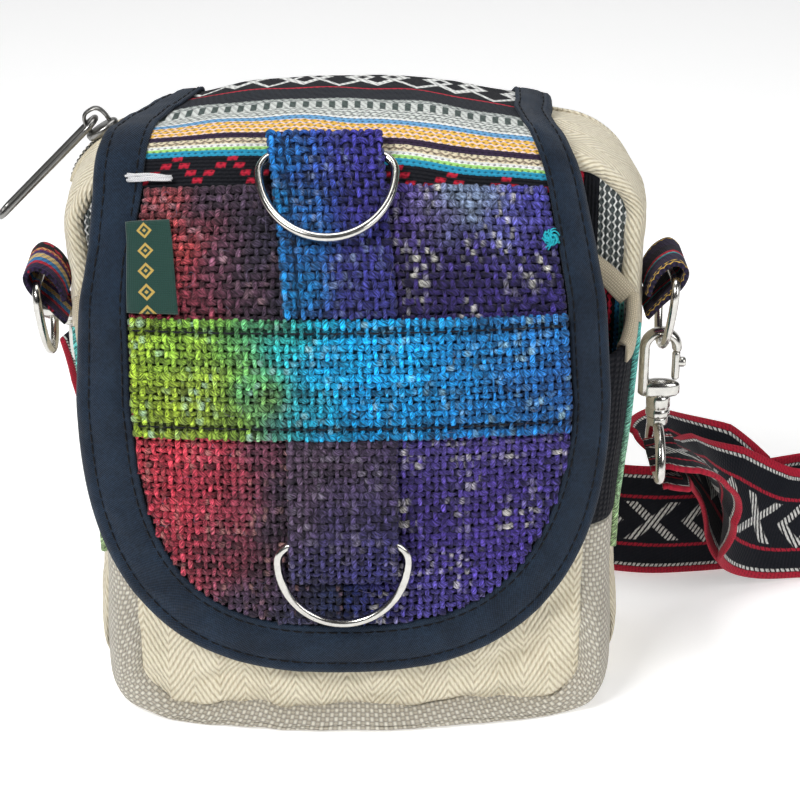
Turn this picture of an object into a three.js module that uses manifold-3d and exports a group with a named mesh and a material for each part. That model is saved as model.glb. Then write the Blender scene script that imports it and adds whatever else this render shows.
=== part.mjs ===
// Hemp crossbody bag: zipped main compartment, open front pocket, patchwork flap with two D-rings,
// side tabs with rings, snap hooks and a woven shoulder strap. Millimetres, +Z up, front is -Y,
// +X is the right side seen from the front, origin on the floor under the middle of the base.
import * as THREE from 'three';
import { mergeVertices } from 'three/addons/utils/BufferGeometryUtils.js';
import Module from 'manifold-3d';

const wasm = await Module();
wasm.setup();

// Driving dimensions
const GAP = 0.3;
const CLOTH = 1.4;
const HEAVY_CLOTH = 1.7;

const MAIN = {
  half: 78.5, height: 168, frontY: -5, backY: 31, topRadius: 18, baseRadius: 18,
  arch: 10, crown: 0.8, crownFrom: 40,
};
// The body and the pocket have a slight waist: the share taken off their width at each height
const WAIST = [
  { z: 20, share: 0.04 },
  { z: 40, share: 0.055 },
  { z: 60, share: 0.05 },
  { z: 85, share: 0.02 },
  { z: 110, share: 0 },
];
const PANEL_DOME = 2.4;

const POCKET = {
  frontY: -35.2, backY: -9.9, sideDroop: 7, droopAt: 65, tuck: 3, tuckBelow: 30,
  split: 60, mouthBack: 123, mouthFront: 111, seamHeight: 8, cornerRadius: 10,
};
const POCKET_BACK = { half: 75.5, foot: 1.5, sideTop: 123, archRise: 22, archPower: 4, midY: -8.9 };
// One row per section of the pocket's gusset, from the main body to the front seam; roll is the
// extra depth by which the lower edge bulges out under the front
const POCKET_SECTIONS = [
  { depth: 0.0, half: 76.2, bottom: 0.0, roll: 0 },
  { depth: 0.45, half: 75.0, bottom: 0.0, roll: 0.1 },
  { depth: 0.78, half: 73.0, bottom: 0.0, roll: 0.3 },
  { depth: 0.90, half: 70.8, bottom: 0.9, roll: 0.42 },
  { depth: 0.97, half: 68.4, bottom: 3.8, roll: 0.3 },
  { depth: 1.0, half: 65.6, bottom: 7.7, roll: 0 },
];
const ROLL = { fullBelow: 16, goneAt: 46 };

// The flap is drawn flat, x across and s along from its seam on the back, then carried over this
// side profile: radius 0 is a straight run, otherwise an arc of that radius turning forward
const FLAP_START = { y: 36.2, z: 146.1, heading: 80 };
const FLAP_PROFILE = [
  { part: 'back_rise', run: 13, radius: 0, turn: 0 },
  { part: 'back_corner', run: 0, radius: 11, turn: 100 },
  { part: 'top', run: 28.6, radius: 0, turn: 0 },
  { part: 'brow', run: 0, radius: 18, turn: 55 },
  { part: 'slope', run: 30, radius: 0, turn: 0 },
  { part: 'knee', run: 0, radius: 25, turn: 35 },
  { part: 'front', run: 105, radius: 0, turn: 0 },
];
const FLAP = { centreX: -4.5, droopAt: 65, roundFrom: 146.5, roundHeight: 81, power: 2.6 };
const FLAP_WIDTHS = [
  { s: 0, half: 55 },
  { s: 46, half: 55 },
  { s: 82, half: 63 },
  { s: 116, half: 68 },
  { s: 146.5, half: 70.5 },
];
// How far the flap's cloth falls away 65 mm off its middle, along its length
const FLAP_DROOP = [
  { s: 0, fall: 0.2 },
  { s: 16, fall: 1.2 },
  { s: 34, fall: 5.0 },
  { s: 64, fall: 5.5 },
  { s: 104, fall: 5.0 },
];
const BINDING = { width: 15, wall: 0.8, fold: 1.2 };
// Width of the binding that shows on the flap's face: the tape is rolled further back on the right
const BINDING_SHOWN = [
  { s: 0, left: 13, right: 9.5 },
  { s: 85, left: 13, right: 9.5 },
  { s: 104, left: 11.5, right: 9.8 },
  { s: 130, left: 13.6, right: 10 },
  { s: 155, left: 15, right: 10 },
  { s: 195, left: 15.3, right: 13 },
  { s: 228, left: 15.5, right: 15.5 },
];
const PATCH = { top: 83, split: 136, low: 1.0, high: 2.6, clear: 0.4 };
const BAND = { top: 120, bottom: 153.9, low: 2.9, high: 4.5 };
const STRIP = { half: 14.5, thick: 1.6, upperLean: -3.6, leanOver: 49 };
// Side profiles of the two ring strips: s along the flap, h over the flap's cloth
const UPPER_STRIP = [
  { s: 119.7, h: 3.7 }, { s: 104.0, h: 3.7 }, { s: 92.5, h: 4.6 }, { s: 83.5, h: 6.6 },
  { s: 76.5, h: 7.4 }, { s: 71.5, h: 6.6 }, { s: 69.7, h: 4.6 }, { s: 71.5, h: 2.6 },
  { s: 75.5, h: 1.9 }, { s: 82.0, h: 1.9 },
];
const LOWER_STRIP = [
  { s: 154.2, h: 3.7 }, { s: 166.5, h: 3.9 }, { s: 174.5, h: 6.4 }, { s: 180.5, h: 8.6 },
  { s: 186.5, h: 8.7 }, { s: 191.5, h: 7.4 }, { s: 194.6, h: 6.4 }, { s: 195.9, h: 5.0 },
  { s: 194.5, h: 3.9 }, { s: 190.5, h: 3.7 }, { s: 178.5, h: 3.7 },
];
const UPPER_BAR = { s: 78, h: 4.4, lift: 13, shift: -3 };
const LOWER_BAR = { s: 184, h: 6.2, lift: 0, shift: 0 };
const FLAP_RING = { half: 17.65, height: 24.4, corner: 5.2, wire: 1.35 };

const LABEL = { left: -55.4, width: 11.6, top: 91.5, bottom: 116.5, low: 2.9, high: 3.6 };

const SIDE_TAB = { y: 4, width: 20, thick: 1.4 };
// Side profile of a tab's loop on the right: x outward from the centre, z up
const TAB_LOOP = [
  { x: 80.2, z: 114 }, { x: 84.2, z: 118.5 }, { x: 89.2, z: 123.5 }, { x: 90.4, z: 127.5 },
  { x: 87.8, z: 130 }, { x: 84.2, z: 128.4 }, { x: 81.4, z: 124.5 }, { x: 80.2, z: 120.5 },
];
const SIDE_BAR = { x: 87.4, z: 125.2 };
const SIDE_RING = { half: 12.8, height: 22.6, corner: 4.5, wire: 1.2 };
const RIGHT_RING_LEAN = -5;
const LEFT_RING_LEAN = -5;

const ZIP = { y: 22, slot: 9, tape: 8.4, thick: 1.2, chain: 3, chainRise: 0.5, from: 42, to: 132 };
const SLIDER = {
  along: 116, width: 7.6, length: 10, thick: 2.4, rise: 0.8,
  bailHeight: 5.8, bailDepth: 3, bailWire: 1.6, bailBar: 1.2, bailHalf: 4, sunk: 0.4,
};
const PULLER = { half: 3.6, length: 40, wire: 0.9, angle: 225 };

const HOOK = {
  thick: 5, arm: 3, opening: 3, archZ: -1, seat: -11, base: -16, barrel: 3.5, barrelEnd: -22,
  bore: 2.3, post: 2.0, eyeTop: -24.5, eyeBar: -38, eyeHalf: 12.2, eyeWire: 1.5, tipEnd: -2,
  heel: 1.4, notch: 0.2, notchTop: 0.6, collar: 3, sunk: 0.6, stemUp: 2, boreUp: 1.5,
};
const GATE = {
  pivotX: 4.5, pivotZ: -10, foot: 1, width: 2.4, thick: 2.8, top: -2.3,
  knob: 1.6, knobLow: -7.2, knobHigh: -4.2, knobTaper: 0.8,
};
// The left hook is pulled back along the bag's side; it hangs on the back of its ring, as one piece
const LEFT_HOOK = { depth: 15, pitch: 63, yaw: -7, gateWidth: 2.6, gateHeight: 11, gateZ: -7 };
const WIRE_SEAT = { x: 0.3, z: -0.4 };

const STRAP_THICK = 1.6;
// Hand-laid route of the strap's middle line from the right hook's eye to the left hook's eye;
// lean is the strap's tilt in degrees, 0 flat along Y and 90 standing on its edge
const STRAP_ROUTE = [
  { x: 83.4, y: 4, z: 67.1, lean: 0, half: 10.2 },
  { x: 88.4, y: 4, z: 67.9, lean: 0, half: 10.2 },
  { x: 94, y: 4.4, z: 66.8, lean: 6, half: 10.4 },
  { x: 101, y: 11, z: 60.5, lean: 30, half: 12.5 },
  { x: 106.5, y: 24, z: 49, lean: 58, half: 16.5 },
  { x: 115, y: 37, z: 34, lean: 78, half: 18.6 },
  { x: 129, y: 46, z: 22.4, lean: 87, half: 19 },
  { x: 150, y: 50, z: 19.4, lean: 90, half: 19 },
  { x: 190, y: 42, z: 19.4, lean: 90, half: 19 },
  { x: 235, y: 32, z: 19.4, lean: 90, half: 19 },
  { x: 274, y: 44, z: 19.4, lean: 90, half: 19 },
  { x: 292, y: 80, z: 19.4, lean: 90, half: 19 },
  { x: 276, y: 118, z: 19.4, lean: 90, half: 19 },
  { x: 236, y: 120, z: 19.4, lean: 90, half: 19 },
  { x: 192, y: 95, z: 19.4, lean: 90, half: 19 },
  { x: 154, y: 68, z: 19.4, lean: 90, half: 19 },
  { x: 122, y: 57, z: 19.4, lean: 90, half: 19 },
  { x: 92, y: 54, z: 19.4, lean: 90, half: 19 },
  { x: 62, y: 64, z: 19.4, lean: 90, half: 19 },
  { x: 32, y: 88, z: 19.4, lean: 90, half: 19 },
  { x: 0, y: 108, z: 19.4, lean: 90, half: 19 },
  { x: -34, y: 113, z: 20.3, lean: 90, half: 19 },
  { x: -60, y: 97, z: 27, lean: 90, half: 19 },
  { x: -72, y: 79, z: 49, lean: 84, half: 18 },
  { x: -78.5, y: 63, z: 76, lean: 72, half: 14 },
  { x: -81.7, y: 51.4, z: 91, lean: 63, half: 10.2 },
];
// The strap's end, folded back under the eye's bar: it follows the first rows of the route, this far
// behind the strap's face, and climbs along the strap's width past the climb row
const TAIL = { rows: 5.8, behind: 6.2, climbFrom: 2, climb: 14 };

// Colours, roughness and metalness of the finishes
const FINISH = {
  cream: { color: 0xd6cbb2, roughness: 0.95 },
  plain: { color: 0xbdb6aa, roughness: 0.95 },
  striped: { color: 0x7a4a5c, roughness: 0.95 },
  navy: { color: 0x232b37, roughness: 0.8 },
  red: { color: 0x7d3440, roughness: 1.0 },
  violet: { color: 0x4b3c8c, roughness: 1.0 },
  blue: { color: 0x2c86bf, roughness: 1.0 },
  brown: { color: 0x55414a, roughness: 1.0 },
  green: { color: 0x0f463c, roughness: 0.7 },
  black: { color: 0x191f2c, roughness: 0.9 },
  nickel: { color: 0xd8d8d4, roughness: 0.18, metalness: 1 },
  zinc: { color: 0x5a5d60, roughness: 0.35, metalness: 1 },
};

const bag = new THREE.Group();

// General helpers

const vec = (x, y, z) => new THREE.Vector3(x, y, z);
const radians = THREE.MathUtils.degToRad;
const lerp = THREE.MathUtils.lerp;

function addPiece(name, finish, geometry, parent = bag) {
  const mesh = new THREE.Mesh(geometry, new THREE.MeshStandardMaterial(FINISH[finish]));
  mesh.name = name;
  parent.add(mesh);
  return mesh;
}

// Reads a value from a table of rows, linear between rows and constant past its ends
function tableAt(rows, key, at, column) {
  if (at <= rows[0][key]) return rows[0][column];
  for (let i = 1; i < rows.length; i += 1) {
    if (at <= rows[i][key]) {
      const share = (at - rows[i - 1][key]) / (rows[i][key] - rows[i - 1][key]);
      return lerp(rows[i - 1][column], rows[i][column], share);
    }
  }
  return rows[rows.length - 1][column];
}

// Makes an indexed geometry from points and triangles, with its faces turned outward
function closedGeometry(points, triangles) {
  let volume = 0;
  const cross = vec(0, 0, 0);
  for (const [a, b, c] of triangles) {
    volume += points[a].dot(cross.crossVectors(points[b], points[c]));
  }
  const index = [];
  for (const [a, b, c] of triangles) {
    index.push(a, ...(volume > 0 ? [b, c] : [c, b]));
  }
  const geometry = new THREE.BufferGeometry();
  const flat = points.flatMap((p) => [p.x, p.y, p.z]);
  geometry.setAttribute('position', new THREE.Float32BufferAttribute(flat, 3));
  geometry.setIndex(index);
  return geometry;
}

// A wall between two faces: at(u, v, side) gives the outer face for side 0 and the inner for side 1,
// with u and v from 0 to 1; a wall closed in u joins its last column to its first
function wall(columns, rows, at, closed = false) {
  const points = [];
  const count = closed ? columns : columns + 1;
  const id = (i, j, side) => ((i % count) * (rows + 1) + j) * 2 + side;
  for (let i = 0; i < count; i += 1) {
    for (let j = 0; j <= rows; j += 1) {
      points.push(at(i / columns, j / rows, 0), at(i / columns, j / rows, 1));
    }
  }
  const triangles = [];
  const quad = (a, b, c, d) => triangles.push([a, b, c], [a, c, d]);
  for (let i = 0; i < columns; i += 1) {
    for (let j = 0; j < rows; j += 1) {
      quad(id(i, j, 0), id(i + 1, j, 0), id(i + 1, j + 1, 0), id(i, j + 1, 0));
      quad(id(i, j, 1), id(i, j + 1, 1), id(i + 1, j + 1, 1), id(i + 1, j, 1));
    }
    quad(id(i, 0, 1), id(i + 1, 0, 1), id(i + 1, 0, 0), id(i, 0, 0));
    quad(id(i, rows, 0), id(i + 1, rows, 0), id(i + 1, rows, 1), id(i, rows, 1));
  }
  if (!closed) {
    for (let j = 0; j < rows; j += 1) {
      quad(id(0, j, 0), id(0, j + 1, 0), id(0, j + 1, 1), id(0, j, 1));
      quad(id(columns, j, 1), id(columns, j + 1, 1), id(columns, j + 1, 0), id(columns, j, 0));
    }
  }
  return closedGeometry(points, triangles);
}

// Carries a flat section along frames; each frame places the section point [a, b] in space
function sweep(section, frames, closed = false) {
  const points = frames.flatMap((frame) => section.map(([a, b]) => frame(a, b)));
  const size = section.length;
  const triangles = [];
  const steps = closed ? frames.length : frames.length - 1;
  for (let i = 0; i < steps; i += 1) {
    const here = i * size;
    const next = ((i + 1) % frames.length) * size;
    for (let k = 0; k < size; k += 1) {
      const other = (k + 1) % size;
      triangles.push([here + k, here + other, next + other], [here + k, next + other, next + k]);
    }
  }
  if (!closed) {
    const contour = section.map(([a, b]) => new THREE.Vector2(a, b));
    const last = (frames.length - 1) * size;
    for (const [a, b, c] of THREE.ShapeUtils.triangulateShape(contour, [])) {
      triangles.push([b, a, c], [last + a, last + b, last + c]);
    }
    // The caps follow the section's winding, which runs anticlockwise
    if (THREE.ShapeUtils.area(contour) < 0) throw new Error('section runs clockwise');
  }
  return closedGeometry(points, triangles);
}

function roundSection(radius, sides) {
  const at = (k) => (2 * Math.PI * k) / sides;
  return Array.from({ length: sides }, (_, k) => [radius * Math.cos(at(k)), radius * Math.sin(at(k))]);
}

// A wire bent into a closed flat loop; place turns the loop's plane point and its normal offset to space
function wireLoop(outline, wire, sides, place) {
  const count = outline.length;
  const frames = outline.map((point, i) => {
    const before = outline[(i + count - 1) % count];
    const after = outline[(i + 1) % count];
    const side = new THREE.Vector2(after.y - before.y, before.x - after.x).normalize();
    return (a, b) => place(point.x + side.x * a, point.y + side.y * a, b);
  });
  return sweep(roundSection(wire, sides), frames, true);
}

// Middle line of a D-ring: straight bar along the top, rounded corners, half ellipse below
function ringOutline({ half, height, corner }, arcSteps) {
  const points = [];
  const cornerSteps = 3;
  const bar = half - corner;
  for (let i = 0; i <= cornerSteps; i += 1) {
    const a = Math.PI / 2 - (i / cornerSteps) * (Math.PI / 2);
    points.push(new THREE.Vector2(bar + corner * Math.cos(a), -corner + corner * Math.sin(a)));
  }
  for (let i = 1; i < arcSteps; i += 1) {
    const a = (i / arcSteps) * Math.PI;
    points.push(new THREE.Vector2(half * Math.cos(a), -corner - (height - corner) * Math.sin(a)));
  }
  for (let i = 0; i <= cornerSteps; i += 1) {
    const a = Math.PI - (i / cornerSteps) * (Math.PI / 2);
    points.push(new THREE.Vector2(-bar + corner * Math.cos(a), -corner + corner * Math.sin(a)));
  }
  return points;
}

// Booleans on closed meshes

function toSolid(geometry) {
  const bare = new THREE.BufferGeometry();
  bare.setAttribute('position', geometry.getAttribute('position').clone());
  if (geometry.index) bare.setIndex(geometry.index.clone());
  const merged = mergeVertices(bare, 1e-4);
  const vertProperties = new Float32Array(merged.getAttribute('position').array);
  const triVerts = new Uint32Array(merged.index.array);
  return new wasm.Manifold(new wasm.Mesh({ numProp: 3, vertProperties, triVerts }));
}

function fromSolid(solid) {
  const { vertProperties, triVerts, numProp } = solid.getMesh();
  const geometry = new THREE.BufferGeometry();
  const positions = [];
  for (let i = 0; i < vertProperties.length; i += numProp) {
    positions.push(vertProperties[i], vertProperties[i + 1], vertProperties[i + 2]);
  }
  geometry.setAttribute('position', new THREE.Float32BufferAttribute(positions, 3));
  geometry.setIndex(Array.from(triVerts));
  return geometry;
}

const join = (...shapes) => fromSolid(shapes.map(toSolid).reduce((sum, next) => sum.add(next)));
const cut = (shape, tool) => fromSolid(toSolid(shape).subtract(toSolid(tool)));

function narrowed(geometry) {
  const points = geometry.getAttribute('position');
  for (let i = 0; i < points.count; i += 1) {
    points.setX(i, points.getX(i) * (1 - tableAt(WAIST, 'z', points.getZ(i), 'share')));
  }
  return geometry;
}

// Main compartment

// Half width of the main body's outline at height z, and the sag of its top towards the sides
function mainHalf(z) {
  const { half, height, topRadius, baseRadius } = MAIN;
  if (z < baseRadius) return half - baseRadius + Math.sqrt(baseRadius ** 2 - (baseRadius - z) ** 2);
  const over = z - (height - topRadius);
  if (over > 0) return half - topRadius + Math.sqrt(Math.max(0, topRadius ** 2 - over ** 2));
  return half;
}

function archDrop(x, z) {
  const share = Math.max(0, z / MAIN.height - 0.5) * 2;
  return MAIN.arch * (x / MAIN.half) ** 2 * share ** 2;
}

// Walks the rounded outline: length along from the middle of the base, anticlockwise from the front
const MAIN_RUNS = (() => {
  const { half, height, topRadius, baseRadius } = MAIN;
  return [
    { length: half - baseRadius, radius: 0 },
    { length: (Math.PI / 2) * baseRadius, radius: baseRadius },
    { length: height - baseRadius - topRadius, radius: 0 },
    { length: (Math.PI / 2) * topRadius, radius: topRadius },
    { length: 2 * (half - topRadius), radius: 0 },
    { length: (Math.PI / 2) * topRadius, radius: topRadius },
    { length: height - baseRadius - topRadius, radius: 0 },
    { length: (Math.PI / 2) * baseRadius, radius: baseRadius },
    { length: half - baseRadius, radius: 0 },
  ];
})();

function mainOutline(along, outset) {
  let rest = along;
  let heading = 0;
  let x = 0;
  let z = 0;
  for (const { length, radius } of MAIN_RUNS) {
    const run = Math.min(Math.max(rest, 0), length);
    const turn = radius ? run / radius : 0;
    const chord = radius ? 2 * radius * Math.sin(turn / 2) : run;
    x += chord * Math.cos(heading + turn / 2);
    z += chord * Math.sin(heading + turn / 2);
    heading += turn;
    rest -= length;
    if (rest < 0) break;
  }
  const px = x + Math.sin(heading) * outset;
  const pz = z - Math.cos(heading) * outset;
  return { x: px, z: pz - archDrop(px, pz) };
}

// Outline stations: dense on the corners, sparse on the straight runs
function mainStations(straightSteps, cornerSteps) {
  const stations = [];
  let start = 0;
  for (const { length, radius } of MAIN_RUNS) {
    const steps = radius ? cornerSteps : straightSteps;
    for (let i = 0; i < steps; i += 1) stations.push(start + (length * i) / steps);
    start += length;
  }
  return stations;
}

function gussetPoint(along, depth, outset) {
  const rising = Math.min(1, mainOutline(along, 0).z / MAIN.crownFrom);
  const swell = MAIN.crown * rising * (1 - (2 * depth - 1) ** 2);
  const { x, z } = mainOutline(along, outset + swell);
  return vec(x, lerp(MAIN.frontY, MAIN.backY, depth), z);
}

function mainGusset() {
  const stations = mainStations(2, 6);
  const band = wall(stations.length, 3, (u, v, side) => {
    const along = stations[Math.round(u * stations.length) % stations.length];
    return gussetPoint(along, v, side ? -HEAVY_CLOTH : 0);
  }, true);
  const slotDepth = (edge) => (ZIP.y + edge * (ZIP.slot / 2) - MAIN.frontY) / (MAIN.backY - MAIN.frontY);
  const slotCutter = wall(20, 1, (u, v, side) => {
    const along = zipStart() - GAP + u * (zipEnd() - zipStart() + 2 * GAP);
    return gussetPoint(along, slotDepth(v * 2 - 1), side ? -2 * HEAVY_CLOTH : HEAVY_CLOTH);
  });
  return cut(band, slotCutter);
}

// The zip runs over the top and both shoulders, measured along the outline
function zipStart() {
  return MAIN.half - MAIN.baseRadius + (Math.PI / 2) * MAIN.baseRadius
    + MAIN.height - MAIN.baseRadius - MAIN.topRadius + ZIP.from;
}

function zipEnd() {
  return zipStart() + ZIP.to;
}

// Tape with the raised chain of teeth along its middle
function zipChain() {
  const half = ZIP.tape / 2;
  const section = [
    [-half, -ZIP.thick], [half, -ZIP.thick], [half, 0], [ZIP.chain / 2, 0], [ZIP.chain / 2, ZIP.chainRise],
    [-ZIP.chain / 2, ZIP.chainRise], [-ZIP.chain / 2, 0], [-half, 0],
  ];
  const steps = 20;
  const frames = Array.from({ length: steps + 1 }, (_, i) => {
    const along = zipStart() + (i / steps) * ZIP.to;
    return (a, b) => gussetPoint(along, (ZIP.y + a - MAIN.frontY) / (MAIN.backY - MAIN.frontY), b);
  });
  return sweep(section, frames);
}

// A domed or flat wall panel with the main body's outline
function mainPanel(nearY, farY, dome) {
  return wall(8, 12, (u, v, side) => {
    const z = (0.5 - 0.5 * Math.cos(Math.PI * v)) * MAIN.height;
    const x = (2 * u - 1) * mainHalf(z);
    const bulge = dome * (1 - (2 * u - 1) ** 2) * Math.sin(Math.PI * v);
    return vec(x, (side ? nearY : farY) + bulge, z - archDrop(x, z));
  });
}

addPiece('main_gusset', 'cream', narrowed(mainGusset()));
addPiece(
  'main_back_panel', 'cream',
  narrowed(mainPanel(MAIN.backY + GAP, MAIN.backY + GAP + HEAVY_CLOTH, PANEL_DOME)),
);
addPiece(
  'main_front_panel', 'striped',
  narrowed(mainPanel(MAIN.frontY - GAP, MAIN.frontY - GAP - HEAVY_CLOTH, 0)),
);
addPiece('zip_chain', 'cream', zipChain());

// Front pocket

// Outer face of the pocket's front: bowed back towards the sides and tucked in above the seam
function pocketFace(x, z) {
  const tuck = POCKET.tuck * Math.max(0, 1 - z / POCKET.tuckBelow) ** 2;
  return POCKET.frontY + POCKET.sideDroop * (x / POCKET.droopAt) ** 2 + tuck;
}

// Dent at the lower right corner, where the cloth folds in beside the seam
const DENT = { x: 46, z: 20, across: 9, up: 6, deep: 2.2, slant: 0.75, fadeOver: 12 };

function dentAt(x, z) {
  const dx = x - DENT.x;
  const dz = z - DENT.z;
  const along = (dx + DENT.slant * dz) / Math.hypot(1, DENT.slant) / DENT.across;
  const acrossFold = (dz - DENT.slant * dx) / Math.hypot(1, DENT.slant) / DENT.up;
  const fade = Math.min(1, (z - POCKET.seamHeight) / DENT.fadeOver);
  return DENT.deep * fade * Math.exp(-(along ** 2) - acrossFold ** 2);
}

function pocketFrontHalf(z) {
  const { half } = POCKET_SECTIONS[POCKET_SECTIONS.length - 1];
  const rise = z - POCKET.seamHeight;
  const radius = POCKET.cornerRadius;
  if (rise >= radius) return half;
  return half - radius + Math.sqrt(radius ** 2 - (radius - rise) ** 2);
}

function pocketFront() {
  const bottom = POCKET.seamHeight;
  return wall(14, 9, (u, v, side) => {
    const z = bottom + (POCKET.mouthFront - bottom) * v ** 1.5;
    const x = (2 * u - 1) * pocketFrontHalf(z);
    return vec(x, pocketFace(x, z) + dentAt(x, z) + (side ? HEAVY_CLOTH : 0), z);
  });
}

// Point on the pocket's gusset: along runs down the left side, over the base and up the right side
function pocketGussetPoint(along, depth, inset) {
  const half = tableAt(POCKET_SECTIONS, 'depth', depth, 'half') - inset;
  const bottom = tableAt(POCKET_SECTIONS, 'depth', depth, 'bottom') + inset;
  const roll = tableAt(POCKET_SECTIONS, 'depth', depth, 'roll');
  const radius = POCKET.cornerRadius;
  const side = POCKET.split - bottom - radius;
  const flat = half - radius;
  const arc = (Math.PI / 2) * radius;
  const total = side + arc + flat;
  const reach = Math.abs(along) * total;
  let x;
  let z;
  if (reach < flat) {
    x = reach;
    z = bottom;
  } else if (reach < flat + arc) {
    const turn = (reach - flat) / radius;
    x = flat + radius * Math.sin(turn);
    z = bottom + radius * (1 - Math.cos(turn));
  } else {
    x = half;
    z = bottom + radius + reach - flat - arc;
  }
  const fade = 1 - THREE.MathUtils.smoothstep(z, ROLL.fullBelow, ROLL.goneAt);
  return vec(Math.sign(along) * x, pocketDepth(x, z, depth + roll * fade), z);
}

function pocketDepth(x, z, depth) {
  return lerp(POCKET.backY, pocketFace(x, z) + HEAVY_CLOTH + GAP, depth);
}

// Sections of the gusset: few rows, closer where the edge rounds over to the front
const GUSSET_DEPTHS = POCKET_SECTIONS.map((row) => row.depth);

function pocketGusset() {
  const rows = GUSSET_DEPTHS.length - 1;
  return wall(28, rows, (u, v, side) => {
    const depth = GUSSET_DEPTHS[Math.round(v * rows)];
    return pocketGussetPoint(2 * u - 1, depth, side ? HEAVY_CLOTH : 0);
  });
}

function pocketSide(sign) {
  const rows = GUSSET_DEPTHS.length - 1;
  return wall(3, rows, (u, v, side) => {
    const depth = GUSSET_DEPTHS[Math.round(v * rows)];
    const top = lerp(POCKET.mouthBack, POCKET.mouthFront, depth);
    const z = lerp(POCKET.split + GAP, top, u);
    const x = tableAt(POCKET_SECTIONS, 'depth', depth, 'half') - (side ? CLOTH : 0);
    return vec(sign * x, pocketDepth(x, z, depth), z);
  });
}

function pocketBackTop(x) {
  const { half, sideTop, archRise, archPower } = POCKET_BACK;
  return sideTop + archRise * (1 - Math.abs(x / half) ** archPower);
}

function pocketBack() {
  const { half, foot, midY } = POCKET_BACK;
  return wall(18, 3, (u, v, side) => {
    const x = half * Math.sin((2 * u - 1) * (Math.PI / 2));
    const corner = POCKET.cornerRadius;
    const beyond = Math.max(0, Math.abs(x) - (half - corner));
    const low = foot + corner - Math.sqrt(corner ** 2 - beyond ** 2);
    return vec(x, midY + (side ? CLOTH : -CLOTH) / 2, lerp(low, pocketBackTop(x), v));
  });
}

// Folded tape over a raw edge: a channel open downward, sized for the cloth it holds
const TAPE = { wall: 0.7, leg: 4.2 };

function tapeSection(cloth) {
  const slot = cloth / 2 + GAP;
  const outer = slot + TAPE.wall;
  return [
    [-outer, -TAPE.leg], [-slot, -TAPE.leg], [-slot, GAP], [slot, GAP],
    [slot, -TAPE.leg], [outer, -TAPE.leg], [outer, GAP + TAPE.wall], [-outer, GAP + TAPE.wall],
  ];
}

function pocketBackTape() {
  const steps = 20;
  const reach = POCKET_BACK.half - 0.4;
  const frames = Array.from({ length: steps + 1 }, (_, i) => {
    const x = reach * Math.sin((i / steps - 0.5) * Math.PI);
    const climb = Math.atan(pocketBackTop(x + 0.5) - pocketBackTop(x - 0.5));
    const [rise, slope] = [Math.cos(climb), Math.sin(climb)];
    return (a, b) => vec(x - slope * b, POCKET_BACK.midY - a, pocketBackTop(x) + rise * b);
  });
  return sweep(tapeSection(CLOTH), frames);
}

// Frames of a tape along a path of points, upright, with its channel across the path
function tapeFrames(path) {
  return path.map((point, i) => {
    const before = path[Math.max(0, i - 1)];
    const after = path[Math.min(path.length - 1, i + 1)];
    const across = vec(after.y - before.y, before.x - after.x, 0).normalize();
    return (a, b) => point.clone().addScaledVector(across, a).add(vec(0, 0, b));
  });
}

// Tape on the sloping top edge of a pocket side, from the back wall to just short of the front
const SIDE_TAPE = { from: 0.1, to: 0.8, steps: 4 };

function pocketSideTape(sign) {
  const path = [];
  for (let i = 0; i <= SIDE_TAPE.steps; i += 1) {
    const depth = lerp(SIDE_TAPE.from, SIDE_TAPE.to, i / SIDE_TAPE.steps);
    const x = tableAt(POCKET_SECTIONS, 'depth', depth, 'half') - CLOTH / 2;
    const z = lerp(POCKET.mouthBack, POCKET.mouthFront, depth);
    path.push(vec(sign * x, pocketDepth(x, z, depth), z));
  }
  return sweep(tapeSection(CLOTH), tapeFrames(path));
}

const FRONT_TAPE = { half: 63.8, steps: 14 };

function pocketFrontTape() {
  const path = [];
  for (let i = 0; i <= FRONT_TAPE.steps; i += 1) {
    const x = FRONT_TAPE.half * (1 - (2 * i) / FRONT_TAPE.steps);
    path.push(vec(x, pocketFace(x, POCKET.mouthFront) + HEAVY_CLOTH / 2, POCKET.mouthFront));
  }
  return sweep(tapeSection(HEAVY_CLOTH), tapeFrames(path));
}

addPiece('pocket_front_panel', 'cream', narrowed(pocketFront()));
addPiece('pocket_gusset', 'plain', narrowed(pocketGusset()));
addPiece('pocket_side_left', 'striped', narrowed(pocketSide(-1)));
addPiece('pocket_side_right', 'striped', narrowed(pocketSide(1)));
addPiece('pocket_back', 'striped', narrowed(pocketBack()));
addPiece('pocket_back_binding', 'cream', narrowed(pocketBackTape()));
addPiece('pocket_front_binding', 'cream', narrowed(pocketFrontTape()));
addPiece('pocket_side_binding_left', 'cream', narrowed(pocketSideTape(-1)));
addPiece('pocket_side_binding_right', 'cream', narrowed(pocketSideTape(1)));

// Flap

// Place and heading of the flap's side profile at length s; heading 90 is up and 180 is forward
function flapProfile(s) {
  let { y, z } = FLAP_START;
  let heading = radians(FLAP_START.heading);
  let rest = s;
  for (const [i, { run, radius, turn }] of FLAP_PROFILE.entries()) {
    const length = radius ? radius * radians(turn) : run;
    const last = i === FLAP_PROFILE.length - 1;
    const part = last ? rest : Math.min(rest, length);
    const swing = radius ? part / radius : 0;
    const chord = radius ? 2 * radius * Math.sin(swing / 2) : part;
    y += chord * Math.cos(heading + swing / 2);
    z += chord * Math.sin(heading + swing / 2);
    heading += swing;
    rest -= part;
    if (rest <= 0) break;
  }
  return { y, z, heading };
}

const flapDroop = (x, s) => tableAt(FLAP_DROOP, 's', s, 'fall') * (x / FLAP.droopAt) ** 2;

// Carries a flat point of the flap to space: x across, s along, h over the middle of its cloth
function flapPoint(x, s, h) {
  const { y, z, heading } = flapProfile(Math.max(0, s));
  const over = h - flapDroop(x, s);
  return vec(FLAP.centreX + x, y + Math.sin(heading) * over, z - Math.cos(heading) * over);
}

const flapSide = (s) => tableAt(FLAP_WIDTHS, 's', s, 'half');

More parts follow.
